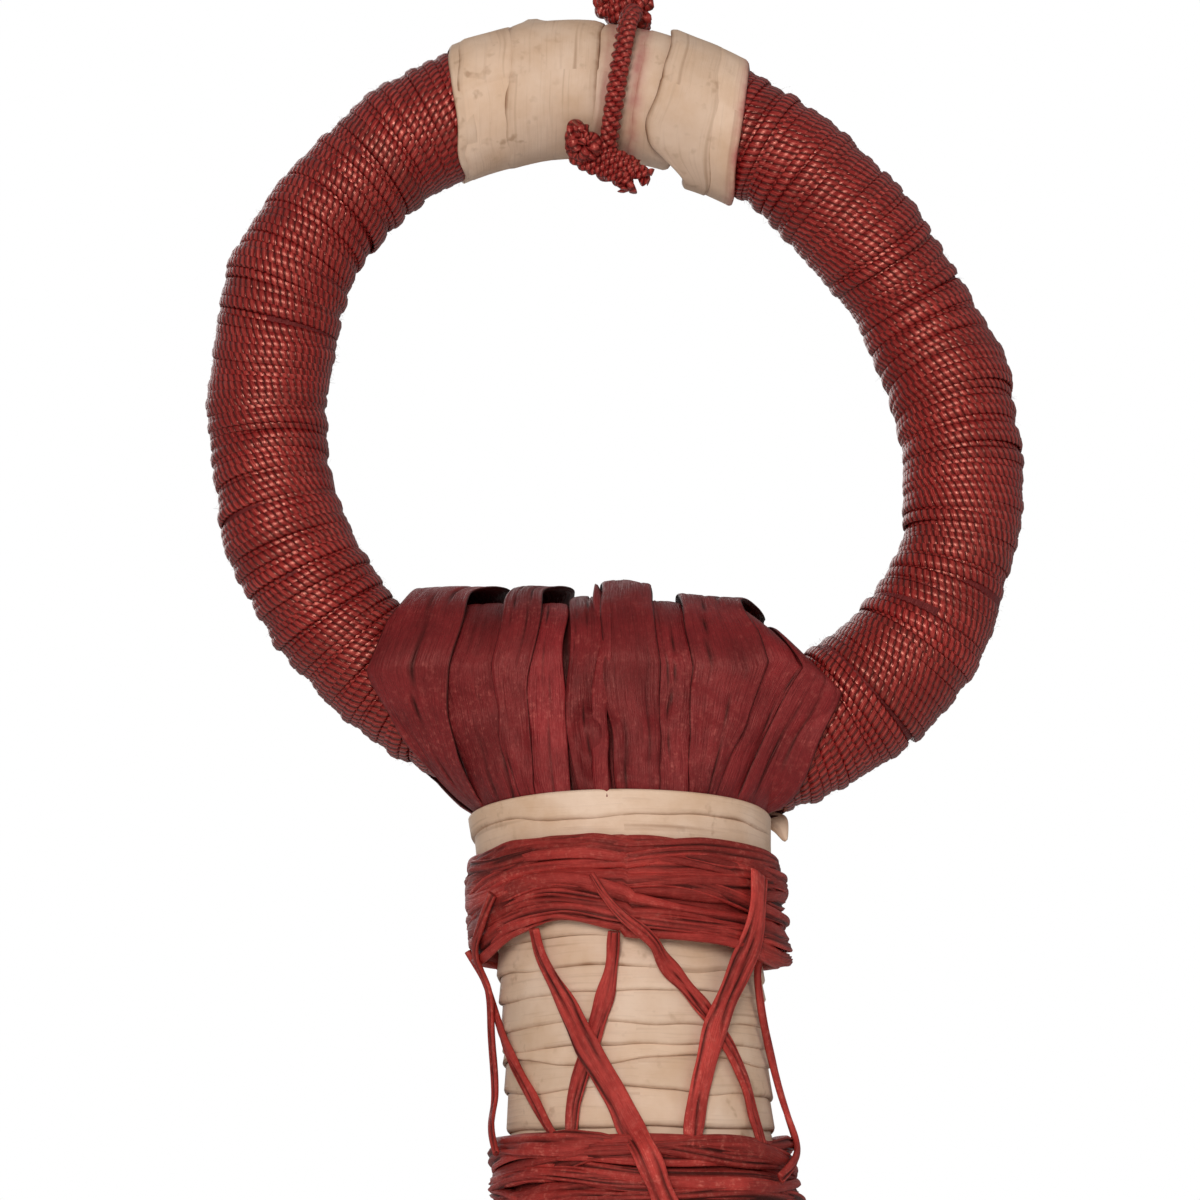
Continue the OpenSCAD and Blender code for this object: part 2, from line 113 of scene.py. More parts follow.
def waves(a):
    """Columns 1, cos a, sin a, cos 2a, sin 2a and so on, for angles a in radians."""
    columns = [np.ones_like(a)]
    for k in range(1, HARMONICS + 1):
        columns += [np.cos(k * a), np.sin(k * a)]
    return np.stack(columns, -1)


def fit_ring():
    """Weights of the waves that give the ring's radius at an angle, fitted to the bent cane's vertices."""
    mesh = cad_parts["ring_cane"].data
    flat = np.empty(len(mesh.vertices) * 3)
    mesh.vertices.foreach_get("co", flat)
    points = np.unique(np.round(flat.reshape(-1, 3) / MM, 3), axis=0)
    angle = np.arctan2(points[:, 2], points[:, 0])
    order = np.argsort(angle)
    angle, radius = angle[order], np.hypot(points[order, 0], points[order, 2])
    cuts = np.flatnonzero(np.diff(angle) > math.radians(1.5)) + 1
    centre = np.array([[part.mean() for part in np.split(values, cuts)] for values in (angle, radius)])
    return np.linalg.lstsq(waves(centre[0]), centre[1], rcond=None)[0]


RING = fit_ring()
TUBE_R = width("ring_winding", 1) / 2
CROWN_R = max(width(n, 1) for n in numbered("crown_wrap_")) / 2


def ring_pt(a):
    """Point of the ring's centreline at angle a, in degrees from +X towards +Z."""
    a = np.radians(a)
    r = waves(a) @ RING
    return np.stack([r * np.cos(a), np.zeros_like(r), r * np.sin(a)], -1)


def ring_along(a):
    """Unit tangent of the centreline, in the direction of a growing angle."""
    return unit(ring_pt(a + 0.5) - ring_pt(a - 0.5))


def tube_frame(a, t):
    """Centre, outward normal and tangent on the tube: t is 0 at the front and 90 towards the eye."""
    along = ring_along(a)
    eye = np.stack([-along[..., 2], np.zeros_like(along[..., 0]), along[..., 0]], -1)
    t = np.radians(t)[..., None]
    normal = np.sin(t) * eye - np.cos(t) * np.array([0.0, 1.0, 0.0])
    return ring_pt(a), normal, along


COLLAR_LOW, COLLAR_HIGH = span("neck_collar")
MOUTH_LOW, MOUTH_HIGH = span("mouth_collar")
NECK_TOP = COLLAR_HIGH[2]
MOUTH_Z = MOUTH_LOW[2]
LEAN = (middle("mouth_collar")[0] - middle("neck_collar")[0]) / (
    middle("neck_collar")[2] - middle("mouth_collar")[2])
NECK_X = middle("neck_collar")[0] - LEAN * (NECK_TOP - middle("neck_collar")[2])
HUSK_R = width(numbered("husk_course_")[1]) / 2
BAND1 = (span("upper_band_turn_1")[1][2], span(numbered("upper_band_turn_")[-1])[0][2])
BAND2 = (span("lower_band_turn_1")[1][2], span(numbered("lower_band_turn_")[-1])[0][2])
BAND1_R = max(width(n) for n in numbered("upper_band_turn_")) / 2
BAND2_R = max(width(n) for n in numbered("lower_band_turn_")) / 2


NECK_TILT = 1.35  # how much higher the neck's upper wraps lie in front than at their sides


def neck_frame(phi, z):
    """Axis point and outward normal round the neck: phi is 0 at the front and 90 at +X.

    The wraps near the neck's top lie a little aslant: their height is z + tilt * cos(phi)."""
    phi = np.radians(phi)
    zero = np.zeros_like(phi + z)
    rise = NECK_TILT * smooth((z - NECK_TOP + 34) / 34) * np.cos(phi)
    axis = np.stack([NECK_X + LEAN * (NECK_TOP - z) + zero, zero, z + rise], -1)
    normal = np.stack([np.sin(phi) + zero, -np.cos(phi) + zero, zero], -1)
    return axis, normal


# ---------------------------------------------------------------- shape helpers

def mix(a, b, s):
    """a where s is 0, b where s is 1."""
    return a + (b - a) * s


def unit(v):
    """Vectors of length 1 in the same directions."""
    return v / np.linalg.norm(v, axis=-1, keepdims=True)


def square_to(path, normal):
    """Unit side and up vectors square to a path of points, with up as near to normal as can be."""
    along = unit(np.gradient(path, axis=-2))
    side = unit(np.cross(along, normal))
    return side, np.cross(side, along)


def rolled(side, normal, angle):
    """side and normal turned together about the strand's own line, by an angle for each of its points."""
    c, s = np.cos(angle)[:, None], np.sin(angle)[:, None]
    return c * side + s * normal, c * normal - s * side


def smooth(s):
    """Smooth step from 0 to 1 as s goes from 0 to 1."""
    s = np.clip(s, 0, 1)
    return s * s * (3 - 2 * s)


def hump(x, centre, half):
    """Bell of height 1 at centre, falling to 1/e at half away from it."""
    return np.exp(-((x - centre) / half) ** 2)


def sines(angles):
    """Sum of the sines of a list of angles, scaled to about -1..1."""
    return sum(np.sin(angle) for angle in angles) / math.sqrt(len(angles))


def ripple(x, seed, low, high, count=6):
    """Sum of count sines of x with seeded frequencies between low and high."""
    rng = np.random.default_rng(seed)
    f, p = rng.uniform(low, high, count), rng.uniform(0, TAU, count)
    return sines([f[k] * x + p[k] for k in range(count)])


def swirl(x, y, seed, fx, fy, count=8):
    """Sum of count plane waves of x and y with seeded frequencies up to fx and fy."""
    rng = np.random.default_rng(seed)
    ax, ay, p = rng.uniform(-fx, fx, count), rng.uniform(-fy, fy, count), rng.uniform(0, TAU, count)
    return sines([ax[k] * x + ay[k] * y + p[k] for k in range(count)])


def rounds(x, seed, low, high, count=6):
    """As ripple, with whole-number frequencies, so that it closes over a full turn of x in radians."""
    rng = np.random.default_rng(seed)
    f, p = rng.integers(low, high + 1, count), rng.uniform(0, TAU, count)
    return sines([f[k] * x + p[k] for k in range(count)])


def through(points, n):
    """n rows on a smooth curve (Catmull-Rom) through a few given rows, evenly spaced in their order."""
    points = np.asarray(points, float)
    padded = np.vstack([2 * points[0] - points[1], points, 2 * points[-1] - points[-2]])
    s = np.linspace(0, len(points) - 1, n)
    i = np.minimum(s.astype(int), len(points) - 2)
    t = (s - i)[:, None]
    a, b, c, d = (padded[i + k] for k in range(4))
    return 0.5 * (2 * b + (c - a) * t + (2 * a - 5 * b + 4 * c - d) * t ** 2
                  + (3 * b - a - 3 * c + d) * t ** 3)


def lengths(path):
    """Distance travelled along each path of points, from 0 at its first point."""
    step = np.linalg.norm(np.diff(path, axis=-2), axis=-1)
    return np.concatenate([np.zeros_like(step[..., :1]), np.cumsum(step, -1)], -1)


def block(points, along, across, loop=False, tint=0.5, painted_shade_and_edge_line=0.0, mark=0.0):
    """Rows of closed profiles: points is (pieces, rows, columns, 3), and the columns always close.

    along and across are the pattern's coordinates in millimetres, with one entry more than the rows
    of a loop and than the columns. tint (0..1, 0.5 as dyed), groove and mark are values for the material:
    groove is painted shade in creases, furrows and gaps, and on husk its own brown edge lines."""
    points = np.asarray(points, float)
    if points.ndim == 3:
        points = points[None]
    k, n, m = points.shape[:3]
    rows = n + 1 if loop else n
    tint = np.asarray(tint, float)
    tint = tint.reshape(tint.shape + (1,) * (3 - tint.ndim)) if tint.ndim in (1, 2) else tint
    shapes = {"along": (along, (k, rows)), "across": (across, (k, m + 1)), "tint": (tint, (k, n, m)),
              "painted_shade_and_edge_line": (painted_shade_and_edge_line, (k, n, m)), "mark": (mark, (k, n, m))}
    spread = {key: np.broadcast_to(np.asarray(value, float), shape) for key, (value, shape) in shapes.items()}
    return {"points": points, "loop": loop, **spread}


def block_faces(b):
    """Vertex numbers and pattern coordinates of every quad of a block, and its end caps."""
    k, n, m = b["points"].shape[:3]
    steps = n if b["loop"] else n - 1
    i, j = np.meshgrid(np.arange(steps), np.arange(m), indexing="ij")
    i2, j2 = (i + 1) % n, (j + 1) % m
    quad = np.stack([i * m + j, i2 * m + j, i2 * m + j2, i * m + j2], -1).reshape(-1, 4)
    base = (np.arange(k) * n * m)[:, None, None]
    u = np.stack([b["along"][:, i], b["along"][:, i + 1], b["along"][:, i + 1], b["along"][:, i]], -1)
    v = np.stack([b["across"][:, j], b["across"][:, j], b["across"][:, j + 1], b["across"][:, j + 1]], -1)
    uv = np.stack([u, v], -1).reshape(k, -1, 4, 2)
    quads = quad[None] + base
    flat = b["points"].reshape(-1, 3)
    p = flat[quads.reshape(-1, 4)]
    volume = np.einsum("ij,ij->", p[:, 0] - flat[0], np.cross(p[:, 1] - flat[0], p[:, 2] - flat[0]))
    volume += np.einsum("ij,ij->", p[:, 0] - flat[0], np.cross(p[:, 2] - flat[0], p[:, 3] - flat[0]))
    caps = np.empty((0, m), int)
    if not b["loop"]:
        ring = np.arange(m)
        caps = np.concatenate([ring[None] + base[:, 0], ring[::-1][None] + (n - 1) * m + base[:, 0]])
    if volume < 0:
        quads, uv, caps = quads[..., ::-1], uv[..., ::-1, :], caps[..., ::-1]
    cap_uv = np.zeros(caps.shape + (2,))
    return quads.reshape(-1, 4), uv.reshape(-1, 4, 2), caps, cap_uv


def new_piece(name, blocks, look, stands_for=(), slot=None, body="handle"):
    """One smooth mesh from blocks of closed profiles, riding on a body in place of CAD nodes.

    Its look is the name of its finish; the slot argument is not used. With no body, the piece is
    left unattached."""
    slot = slot or look
    loops, uvs, corners, offset = [], [], [], 0
    for b in blocks:
        quads, uv, caps, cap_uv = block_faces(b)
        loops += [(quads + offset).ravel(), (caps + offset).ravel()]
        uvs += [uv.reshape(-1, 2), cap_uv.reshape(-1, 2)]
        corners += [np.full(len(quads), 4), np.full(len(caps), caps.shape[1])]
        offset += b["points"].reshape(-1, 3).shape[0]
    loops, uvs, corners = (np.concatenate(parts) for parts in (loops, uvs, corners))
    points = np.concatenate([b["points"].reshape(-1, 3) for b in blocks]) * MM
    mesh = bpy.data.meshes.new(name)
    mesh.vertices.add(len(points))
    mesh.vertices.foreach_set("co", points.ravel())
    mesh.loops.add(len(loops))
    mesh.loops.foreach_set("vertex_index", loops)
    mesh.polygons.add(len(corners))
    mesh.polygons.foreach_set("loop_start", np.concatenate([[0], np.cumsum(corners)[:-1]]))
    mesh.polygons.foreach_set("loop_total", corners)
    mesh.polygons.foreach_set("use_smooth", np.ones(len(corners), bool))
    mesh.update(calc_edges=True)
    mesh.uv_layers.new(name="lay").data.foreach_set("uv", uvs.ravel())
    for key in ("tint", "painted_shade_and_edge_line", "mark"):
        layer = mesh.attributes.new(key, "FLOAT", "POINT")
        layer.data.foreach_set("value", np.concatenate([b[key].ravel() for b in blocks]))
    if mesh.validate(verbose=False):
        raise RuntimeError(name + " had faces that Blender had to mend")
    mesh.materials.append(finish(look))
    piece = bpy.data.objects.new(name, mesh)
    bpy.context.scene.collection.objects.link(piece)
    if body:
        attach(piece, body)
    if stands_for:
        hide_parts(*stands_for)
    return piece


def repaint(node, look):
    """Gives a CAD node a better material. Its shape and its place stay as they are."""
    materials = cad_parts[node].data.materials
    materials.clear()
    materials.append(finish(look))


def flat_profile(top, under=3):
    """Closed outline of a flat strip: x runs -1..1 over the top and back underneath, y is 0..1 on top."""
    x = np.sin(np.linspace(-math.pi / 2, math.pi / 2, top))
    back = np.linspace(0.75, -0.75, under)
    return np.concatenate([x, back]), np.concatenate([np.sqrt(1 - x ** 2), -0.55 + 0 * back])


def creases(x, s, seed, count=4, sharp=0.09, wander=0.25, pace=0.25):
    """Depth 0..1 of count long furrows at places x, -1..1 across, that wander and fade along s."""
    rng = np.random.default_rng(seed)
    depth = np.zeros(np.broadcast(x, s).shape)
    for k in range(count):
        place = rng.uniform(-0.8, 0.8) + wander * ripple(s, seed * 31 + k, 0.3 * pace, pace, 4)
        fade = smooth(0.55 + 0.75 * ripple(s, seed * 37 + k, 0.5 * pace, 1.6 * pace, 4))
        depth = np.maximum(depth, fade * hump(x, place, sharp * rng.uniform(0.7, 1.5)))
    return depth


def strand(centre, normal, side, half, thick, seed, loop=False, tint=0.5, top=13, furrows=4, bite=0.75):
    """A crumpled raffia strand: a flat profile carried along centre, furrowed lengthwise.

    A point is centre + side * half * x + normal * thick * y * (1 - bite * furrow)."""
    x, y = flat_profile(top)
    s = lengths(centre)
    if loop:
        total = s[-1] + np.linalg.norm(centre[0] - centre[-1])
        turn = TAU * s / total
        phase = 8 * np.sin(turn) + 5 * np.cos(2 * turn)
    else:
        phase = s
    # The furrows' depth also goes to the material: painted shade in the furrows on raffia, brown lines on
    # husk.
    cut = creases(x[None], phase[:, None], seed, furrows) * (y[None] > 0)
    half = np.broadcast_to(half, s.shape)[:, None]
    thick = np.broadcast_to(thick, s.shape)[:, None]
    edge = 1 + 0.07 * ripple(phase[:, None] + 3 * np.sign(x[None]), seed + 5, 0.4, 1.3)
    off = ((half * x[None] * edge)[..., None] * side[:, None]
           + (thick * y[None] * (1 - bite * cut))[..., None] * normal[:, None])
    along = np.append(s, total) if loop else s
    across = np.append(x, x[0]) * float(np.mean(half))
    shade = np.broadcast_to(tint, s.shape)[:, None] + 0 * x[None]
    return block(centre[:, None] + off, along, across, loop, shade[None], cut[None])


# ---------------------------------------------------------------- materials

def group(name, inputs, outputs):
    """A new shader node group with named sockets: (name, socket type, default) each."""
    tree = bpy.data.node_groups.new(name, "ShaderNodeTree")
    for label, kind, default in inputs:
        item = tree.interface.new_socket(label, in_out="INPUT", socket_type=kind)
        if default is not None:
            item.default_value = default
    for label, kind in outputs:
        tree.interface.new_socket(label, in_out="OUTPUT", socket_type=kind)
    return tree


class Nodes:
    """Short-hand for building one node tree."""

    def __init__(self, tree):
        self.tree = tree

    def add(self, kind, inputs=None, **settings):
        node = self.tree.nodes.new(kind)
        for key, value in settings.items():
            setattr(node, key, value)
        for key, value in (inputs or {}).items():
            if isinstance(value, bpy.types.NodeSocket):
                self.tree.links.new(value, node.inputs[key])
            else:
                node.inputs[key].default_value = value
        return node

    def math(self, operation, a, b=0.0, c=0.0):
        return self.add("ShaderNodeMath", {0: a, 1: b, 2: c}, operation=operation).outputs[0]

    def times(self, a, b):
        return self.math("MULTIPLY", a, b)

    def remap(self, value, low, high, to_low=0.0, to_high=1.0):
        return self.add("ShaderNodeMapRange", {"Value": value, "From Min": low, "From Max": high,
                                               "To Min": to_low, "To Max": to_high}).outputs[0]

    def blend(self, factor, a, b, how="MIX"):
        node = self.add("ShaderNodeMix", data_type="RGBA", blend_type=how)
        for socket, value in ((node.inputs[0], factor), (node.inputs[6], a), (node.inputs[7], b)):
            if isinstance(value, bpy.types.NodeSocket):
                self.tree.links.new(value, socket)
            else:
                socket.default_value = value
        return node.outputs[2]

    def noise(self, vector, scale, detail=3.0, roughness=0.55):
        return self.add("ShaderNodeTexNoise", {"Vector": vector, "Scale": scale, "Detail": detail,
                                               "Roughness": roughness}).outputs["Fac"]

    def attribute(self, name):
        return self.add("ShaderNodeAttribute", attribute_name=name).outputs["Fac"]


def colour(value):
    """A colour property as the four numbers that a socket takes."""
    return (*value[:3], 1.0)


def fibre_group():
    """Fine lines along a strip: noise on the lay coordinates, stretched along the strip."""
    tree = group("Fibre lines",
                 [("Lay", "NodeSocketVector", None), ("Lines per mm", "NodeSocketFloat", 6.0),
                  ("Stretch", "NodeSocketFloat", 18.0), ("Contrast", "NodeSocketFloat", 0.2)],
                 [("Lines", "NodeSocketFloat"), ("Broad", "NodeSocketFloat")])
    n = Nodes(tree)
    given = n.add("NodeGroupInput").outputs
    taken = n.add("NodeGroupOutput")
    part = n.add("ShaderNodeSeparateXYZ", {"Vector": given["Lay"]}).outputs
    slow = n.math("DIVIDE", part["X"], given["Stretch"])
    for name, scale, detail in (("Lines", 1.0, 4.0), ("Broad", 0.22, 2.0)):
        rate = n.times(given["Lines per mm"], scale)
        vector = n.add("ShaderNodeCombineXYZ", {"X": n.times(slow, rate),
                                                "Y": n.times(part["Y"], rate)}).outputs[0]
        raw = n.noise(vector, 1.0, detail)
        low = n.math("SUBTRACT", 0.5, given["Contrast"])
        high = n.math("ADD", 0.5, given["Contrast"])
        tree.links.new(n.remap(raw, low, high), taken.inputs[name])
    return tree


def ply_group():
    """Two plies twisted together: rounded beads that slant across the thread, 0 in the grooves."""
    tree = group("Twisted ply",
                 [("Lay", "NodeSocketVector", None), ("Twist mm", "NodeSocketFloat", 2.2),
                  ("Plies", "NodeSocketFloat", 2.0)],
                 [("Bead", "NodeSocketFloat"), ("Hair", "NodeSocketFloat")])
    n = Nodes(tree)
    given = n.add("NodeGroupInput").outputs
    taken = n.add("NodeGroupOutput")
    part = n.add("ShaderNodeSeparateXYZ", {"Vector": given["Lay"]}).outputs
    turn = n.math("ADD", n.math("DIVIDE", part["X"], given["Twist mm"]), part["Y"])
    phase = n.times(n.times(turn, given["Plies"]), math.pi)
    bead = n.math("ABSOLUTE", n.math("COSINE", phase))
    tree.links.new(n.math("POWER", bead, 0.6), taken.inputs["Bead"])
    across = n.times(turn, 9.0)
    vector = n.add("ShaderNodeCombineXYZ", {"X": n.times(part["X"], 0.5), "Y": across}).outputs[0]
    tree.links.new(n.noise(vector, 2.0, 2.0), taken.inputs["Hair"])
    return tree


def shared(name, make):
    """The node group of that name, made the first time that a material asks for it."""
    return bpy.data.node_groups.get(name) or make()


def shader(name):
    """A new material: its nodes, its Principled BSDF and its lay coordinates."""
    material = bpy.data.materials.new(name)
    material.use_nodes = True
    n = Nodes(material.node_tree)
    bsdf = material.node_tree.nodes["Principled BSDF"]
    lay = n.add("ShaderNodeUVMap", uv_map="lay").outputs[0]
    place = n.add("ShaderNodeTexCoord").outputs["Object"]
    return material, n, bsdf, lay, place


def surface(n, bsdf, base, shade, rough, height, bump, strength, specular, tint=(1.0, 1.0, 1.0)):
    """The end of a material: base colour times shade, roughness, bump in millimetres, specular light."""
    grey = n.add("ShaderNodeCombineColor", {0: shade, 1: shade, 2: shade}).outputs[0]
    relief = {"Height": height, "Strength": strength, "Distance": bump * MM}
    ends = {"Base Color": n.blend(1.0, base, grey, "MULTIPLY"), "Roughness": rough,
            "Normal": n.add("ShaderNodeBump", relief).outputs[0]}
    for socket, value in ends.items():
        n.tree.links.new(value, bsdf.inputs[socket])
    bsdf.inputs["Specular IOR Level"].default_value = specular
    bsdf.inputs["Specular Tint"].default_value = colour(tint)


def fibres(n, lay, lines, stretch, contrast):
    """The fibre lines' fine and broad masks for one material."""
    settings = {"Lay": lay, "Lines per mm": lines, "Stretch": stretch, "Contrast": contrast}
    return n.add("ShaderNodeGroup", settings, node_tree=shared("Fibre lines", fibre_group)).outputs


def thread_material(name, deep, body, glint, twist, rough, painted_ply_shade_floor, bump):
    """Twisted dyed thread: painted shade in the grooves between its plies, painted glints on the beads, and a
    tinted satin gloss.
    """
    material, n, bsdf, lay, place = shader(name)
    ply = n.add("ShaderNodeGroup", {"Lay": lay, "Twist mm": twist},
                node_tree=shared("Twisted ply", ply_group)).outputs
    patch = n.remap(n.noise(place, 160.0, 3.0), 0.35, 0.65)
    # Painted shade: the thread's colour goes over to its shaded colour in the grooves between the plies.
    base = n.blend(n.remap(ply["Bead"], 0.35, 1.0, painted_ply_shade_floor, 1.0), colour(deep), colour(body))
    # Painted highlight: the glint colour laid on the tops of the ply beads, in patches.
    bright = n.times(n.remap(ply["Hair"], 0.42, 0.66), n.remap(ply["Bead"], 0.6, 1.0))
    base = n.blend(n.times(bright, n.remap(patch, 0.0, 1.0, 0.45, 1.0)), base, colour(glint))
    shade = n.remap(n.attribute("tint"), 0.0, 1.0, 0.72, 1.25)
    # Painted shade: darker where the mesh's value for shade in creases and gaps is high.
    shade = n.times(shade, n.remap(n.attribute("painted_shade_and_edge_line"), 0.0, 1.0, 1.0, 0.35))
    height = n.math("ADD", ply["Bead"], n.times(ply["Hair"], 0.35))
    surface(n, bsdf, base, shade, n.remap(ply["Hair"], 0.3, 0.7, rough - 0.06, rough + 0.12), height, bump,
            1.0, 1.0, (1.0, 0.40, 0.30))
    return material


def raffia_material(name, deep, body, pale, rough, lines, contrast, bump):
    """Dyed raffia: fine fibre lines, painted shade in its furrows, creases and gaps, mottled dye, pale scuffs
    that are partly painted highlights, and a soft gloss.
    """
    material, n, bsdf, lay, place = shader(name)
    fibre = fibres(n, lay, lines, 22.0, contrast)
    mottle = n.remap(n.noise(place, 220.0, 4.0, 0.65), 0.36, 0.66)
    base = n.blend(mottle, colour(deep), colour(body))
    base = n.blend(n.times(fibre["Broad"], 0.5), base, colour(body))
    # Pale scuffs on the fibre lines: partly real wear, partly painted highlights on the crinkles.
    scuff_and_sheen = n.times(n.remap(n.noise(place, 1500.0, 3.0, 0.7), 0.5, 0.72), fibre["Lines"])
    worn_and_sheen = n.times(scuff_and_sheen, n.remap(n.noise(place, 90.0, 2.0), 0.42, 0.62, 0.25, 1.0))
    base = n.blend(worn_and_sheen, base, colour(pale))
    # Darker along the fibre lines (grain), and painted shade: much darker in creases, furrows, edges and
    # gaps.
    dark = n.times(n.remap(fibre["Lines"], 0.0, 0.5, 0.78, 1.0),
                   n.remap(n.attribute("painted_shade_and_edge_line"), 0.0, 0.8, 1.0, 0.14))
    shade = n.times(dark, n.remap(n.attribute("tint"), 0.0, 1.0, 0.58, 1.42))
    height = n.math("ADD", fibre["Lines"], n.times(n.noise(place, 700.0, 3.0, 0.6), 1.6))
    surface(n, bsdf, base, shade, n.remap(fibre["Lines"], 0.0, 1.0, rough + 0.14, rough - 0.04), height, bump,
            0.9, 0.5, (1.0, 0.45, 0.38))
    return material


def husk_material(name, pale, warm, line, stain):
    """Dried husk: cream with faint long fibres, brown at the edges, specks, and dye where it bled."""
    material, n, bsdf, lay, place = shader(name)
    fibre = fibres(n, lay, 2.6, 30.0, 0.2)
    warmth = n.remap(n.noise(place, 130.0, 4.0, 0.6), 0.36, 0.68)
    base = n.blend(warmth, colour(pale), colour(warm))
    base = n.blend(n.times(n.remap(fibre["Lines"], 0.62, 1.0), 0.16), base, colour(line))
    vein = n.times(n.remap(fibre["Broad"], 0.76, 1.0), 0.5)
    base = n.blend(vein, base, colour(line))
    freckled = n.remap(n.noise(place, 75.0, 2.0), 0.48, 0.66)
    specks = n.times(n.remap(n.noise(place, 620.0, 2.0, 0.5), 0.60, 0.74), freckled)
    base = n.blend(n.times(specks, 0.6), base, colour(line))
    base = n.blend(n.times(freckled, 0.28), base, colour(warm))
    broken = n.remap(n.noise(place, 260.0, 3.0), 0.34, 0.62, 0.25, 1.0)
    # The husk's own brown colour along its edges, from the value that raffia uses for painted shade.
    base = n.blend(n.times(n.attribute("painted_shade_and_edge_line"), broken), base, colour(line))
    patchy = n.remap(n.noise(place, 420.0, 3.0), 0.3, 0.7, 0.3, 1.0)
    base = n.blend(n.times(n.attribute("mark"), patchy), base, colour(stain))
    shade = n.remap(n.attribute("tint"), 0.0, 1.0, 0.86, 1.14)
    height = n.math("ADD", fibre["Lines"], n.times(n.noise(place, 380.0, 3.0), 2.2))
    surface(n, bsdf, base, shade, n.remap(fibre["Lines"], 0.0, 1.0, 0.58, 0.46), height, 0.05, 0.5, 0.3)
    return material


def cane_material(name, straw):
    """Split cane: straw colour with long dark fibres."""
    material, n, bsdf, lay, place = shader(name)
    grain = n.noise(place, 300.0, 4.0)
    dark = colour([0.55 * c for c in straw[:3]])
    n.tree.links.new(n.blend(n.remap(grain, 0.35, 0.65), dark, colour(straw)), bsdf.inputs["Base Color"])
    n.tree.links.new(n.remap(grain, 0.3, 0.7, 0.45, 0.6), bsdf.inputs["Roughness"])
    return material


# ---------------------------------------------------------------- properties

def tone(label, default):
    return bpy.props.FloatVectorProperty(name=label, description=label, subtype="COLOR", size=3,
                                         min=0.0, max=1.0, default=default)


def size(label, default, low, high):
    return bpy.props.FloatProperty(name=label, description=label + ", in millimetres",
                                   default=default, min=low, max=high)


class WhiskColours(bpy.types.PropertyGroup):
    """Colours of the whisk's materials."""
    # Painted shade: the thread's colour in the grooves between its plies.
    thread_painted_shade: tone("Thread in its grooves", (0.060, 0.0015, 0.0020))
    thread: tone("Thread", (0.215, 0.0065, 0.0080))
    # Painted highlight: the thread's colour where its beads catch the light.
    thread_glint: tone("Thread where it shines", (0.600, 0.085, 0.066))
    tie: tone("Tie cord", (0.250, 0.014, 0.014))
    fold_deep: tone("Fold raffia, dark", (0.140, 0.0095, 0.0115))
    fold: tone("Fold raffia", (0.225, 0.0170, 0.0190))
    # Scuffed raffia, partly painted highlight on the crinkles.
    fold_scuffed_and_sheen: tone("Fold raffia, scuffed", (0.420, 0.088, 0.072))
    lashing_deep: tone("Lashing raffia, dark", (0.250, 0.018, 0.015))
    lashing: tone("Lashing raffia", (0.420, 0.041, 0.032))
    # Scuffed raffia, partly painted highlight on the crinkles.
    lashing_scuffed_and_sheen: tone("Lashing raffia, scuffed", (0.660, 0.170, 0.125))
    husk: tone("Husk", (0.760, 0.550, 0.405))
    husk_warm: tone("Husk, warm patches", (0.650, 0.425, 0.275))
    husk_line: tone("Husk edges and specks", (0.240, 0.105, 0.045))
    stain: tone("Dye bled into the husk", (0.420, 0.105, 0.095))
    cane: tone("Cane", (0.55, 0.38, 0.20))


class WhiskSizes(bpy.types.PropertyGroup):
    """Sizes of the whisk's finest pieces."""
    thread_pitch: size("Thread's width on the ring", 0.95, 0.8, 1.6)
    thread_thick: size("Thread's thickness", 0.62, 0.6, 1.4)
    thread_twist: size("Length of one twist of the thread", 1.9, 1.2, 5.0)
    cord_twist: size("Length of one twist of the tie cord", 4.2, 2.0, 8.0)
    ribbon: size("Thickness of a raffia strip", 0.28, 0.15, 0.5)
    husk: size("Thickness of a husk strip", 0.45, 0.2, 0.8)
    skirt_strips: bpy.props.IntProperty(name="Skirt strips", description="Number of loose strips",
                                        default=330, min=100, max=600)


def sizes():
    return bpy.context.scene.whisk_sizes


def colours():
    return bpy.context.scene.whisk_colours


def finish(key):
    """The whisk's material of that name, made when first asked for."""
    name = key + "_finish"
    made = bpy.data.materials.get(name)
    if made:
        return made
    c = colours()
    twist = sizes().thread_twist
    make, *settings = {
        "thread": (thread_material, c.thread_painted_shade, c.thread, c.thread_glint, twist, 0.23, 0.0, 0.09),
        "tie_cord": (thread_material, c.thread_painted_shade, c.tie, c.thread_glint, 1.3, 0.32, 0.1, 0.10),
        "raffia_fold": (raffia_material, c.fold_deep, c.fold, c.fold_scuffed_and_sheen, 0.42, 7.0, 0.16, 0.06),
        "raffia_lashing": (raffia_material, c.lashing_deep, c.lashing, c.lashing_scuffed_and_sheen, 0.46, 8.0, 0.2, 0.07),
        "raffia_skirt": (raffia_material, c.fold_deep, c.lashing, c.fold_scuffed_and_sheen, 0.45, 6.0, 0.16, 0.05),
        "husk": (husk_material, c.husk, c.husk_warm, c.husk_line, c.stain),
        "cane": (cane_material, c.cane),
    }[key]
    return make(name, *settings)


# ---------------------------------------------------------------- ring

# Where the wound tube bulges or sinks: angle round the ring, side (+1 outer, -1 inner), height and
# half-length in degrees.
LUMPS = [
    (9, 1, 0.65, 4), (24, 1, -0.55, 8), (56, 1, 0.2, 6), (134, 1, -0.45, 6), (154, 1, 0.65, 5),
    (168, 1, -0.35, 6), (184, 1, -0.4, 7), (199, 1, 0.75, 5), (212, 1, 0.35, 5), (338, 1, -0.5, 5),
    (322, 1, 0.4, 9), (118, -1, 0.5, 5), (146, -1, -0.6, 9), (166, -1, 0.55, 5), (190, -1, -0.3, 6),
    (26, -1, -0.3, 8), (59, -1, -0.6, 7), (342, -1, -0.5, 6), (311, -1, 2.0, 9), (325, -1, 0.5, 6),
]


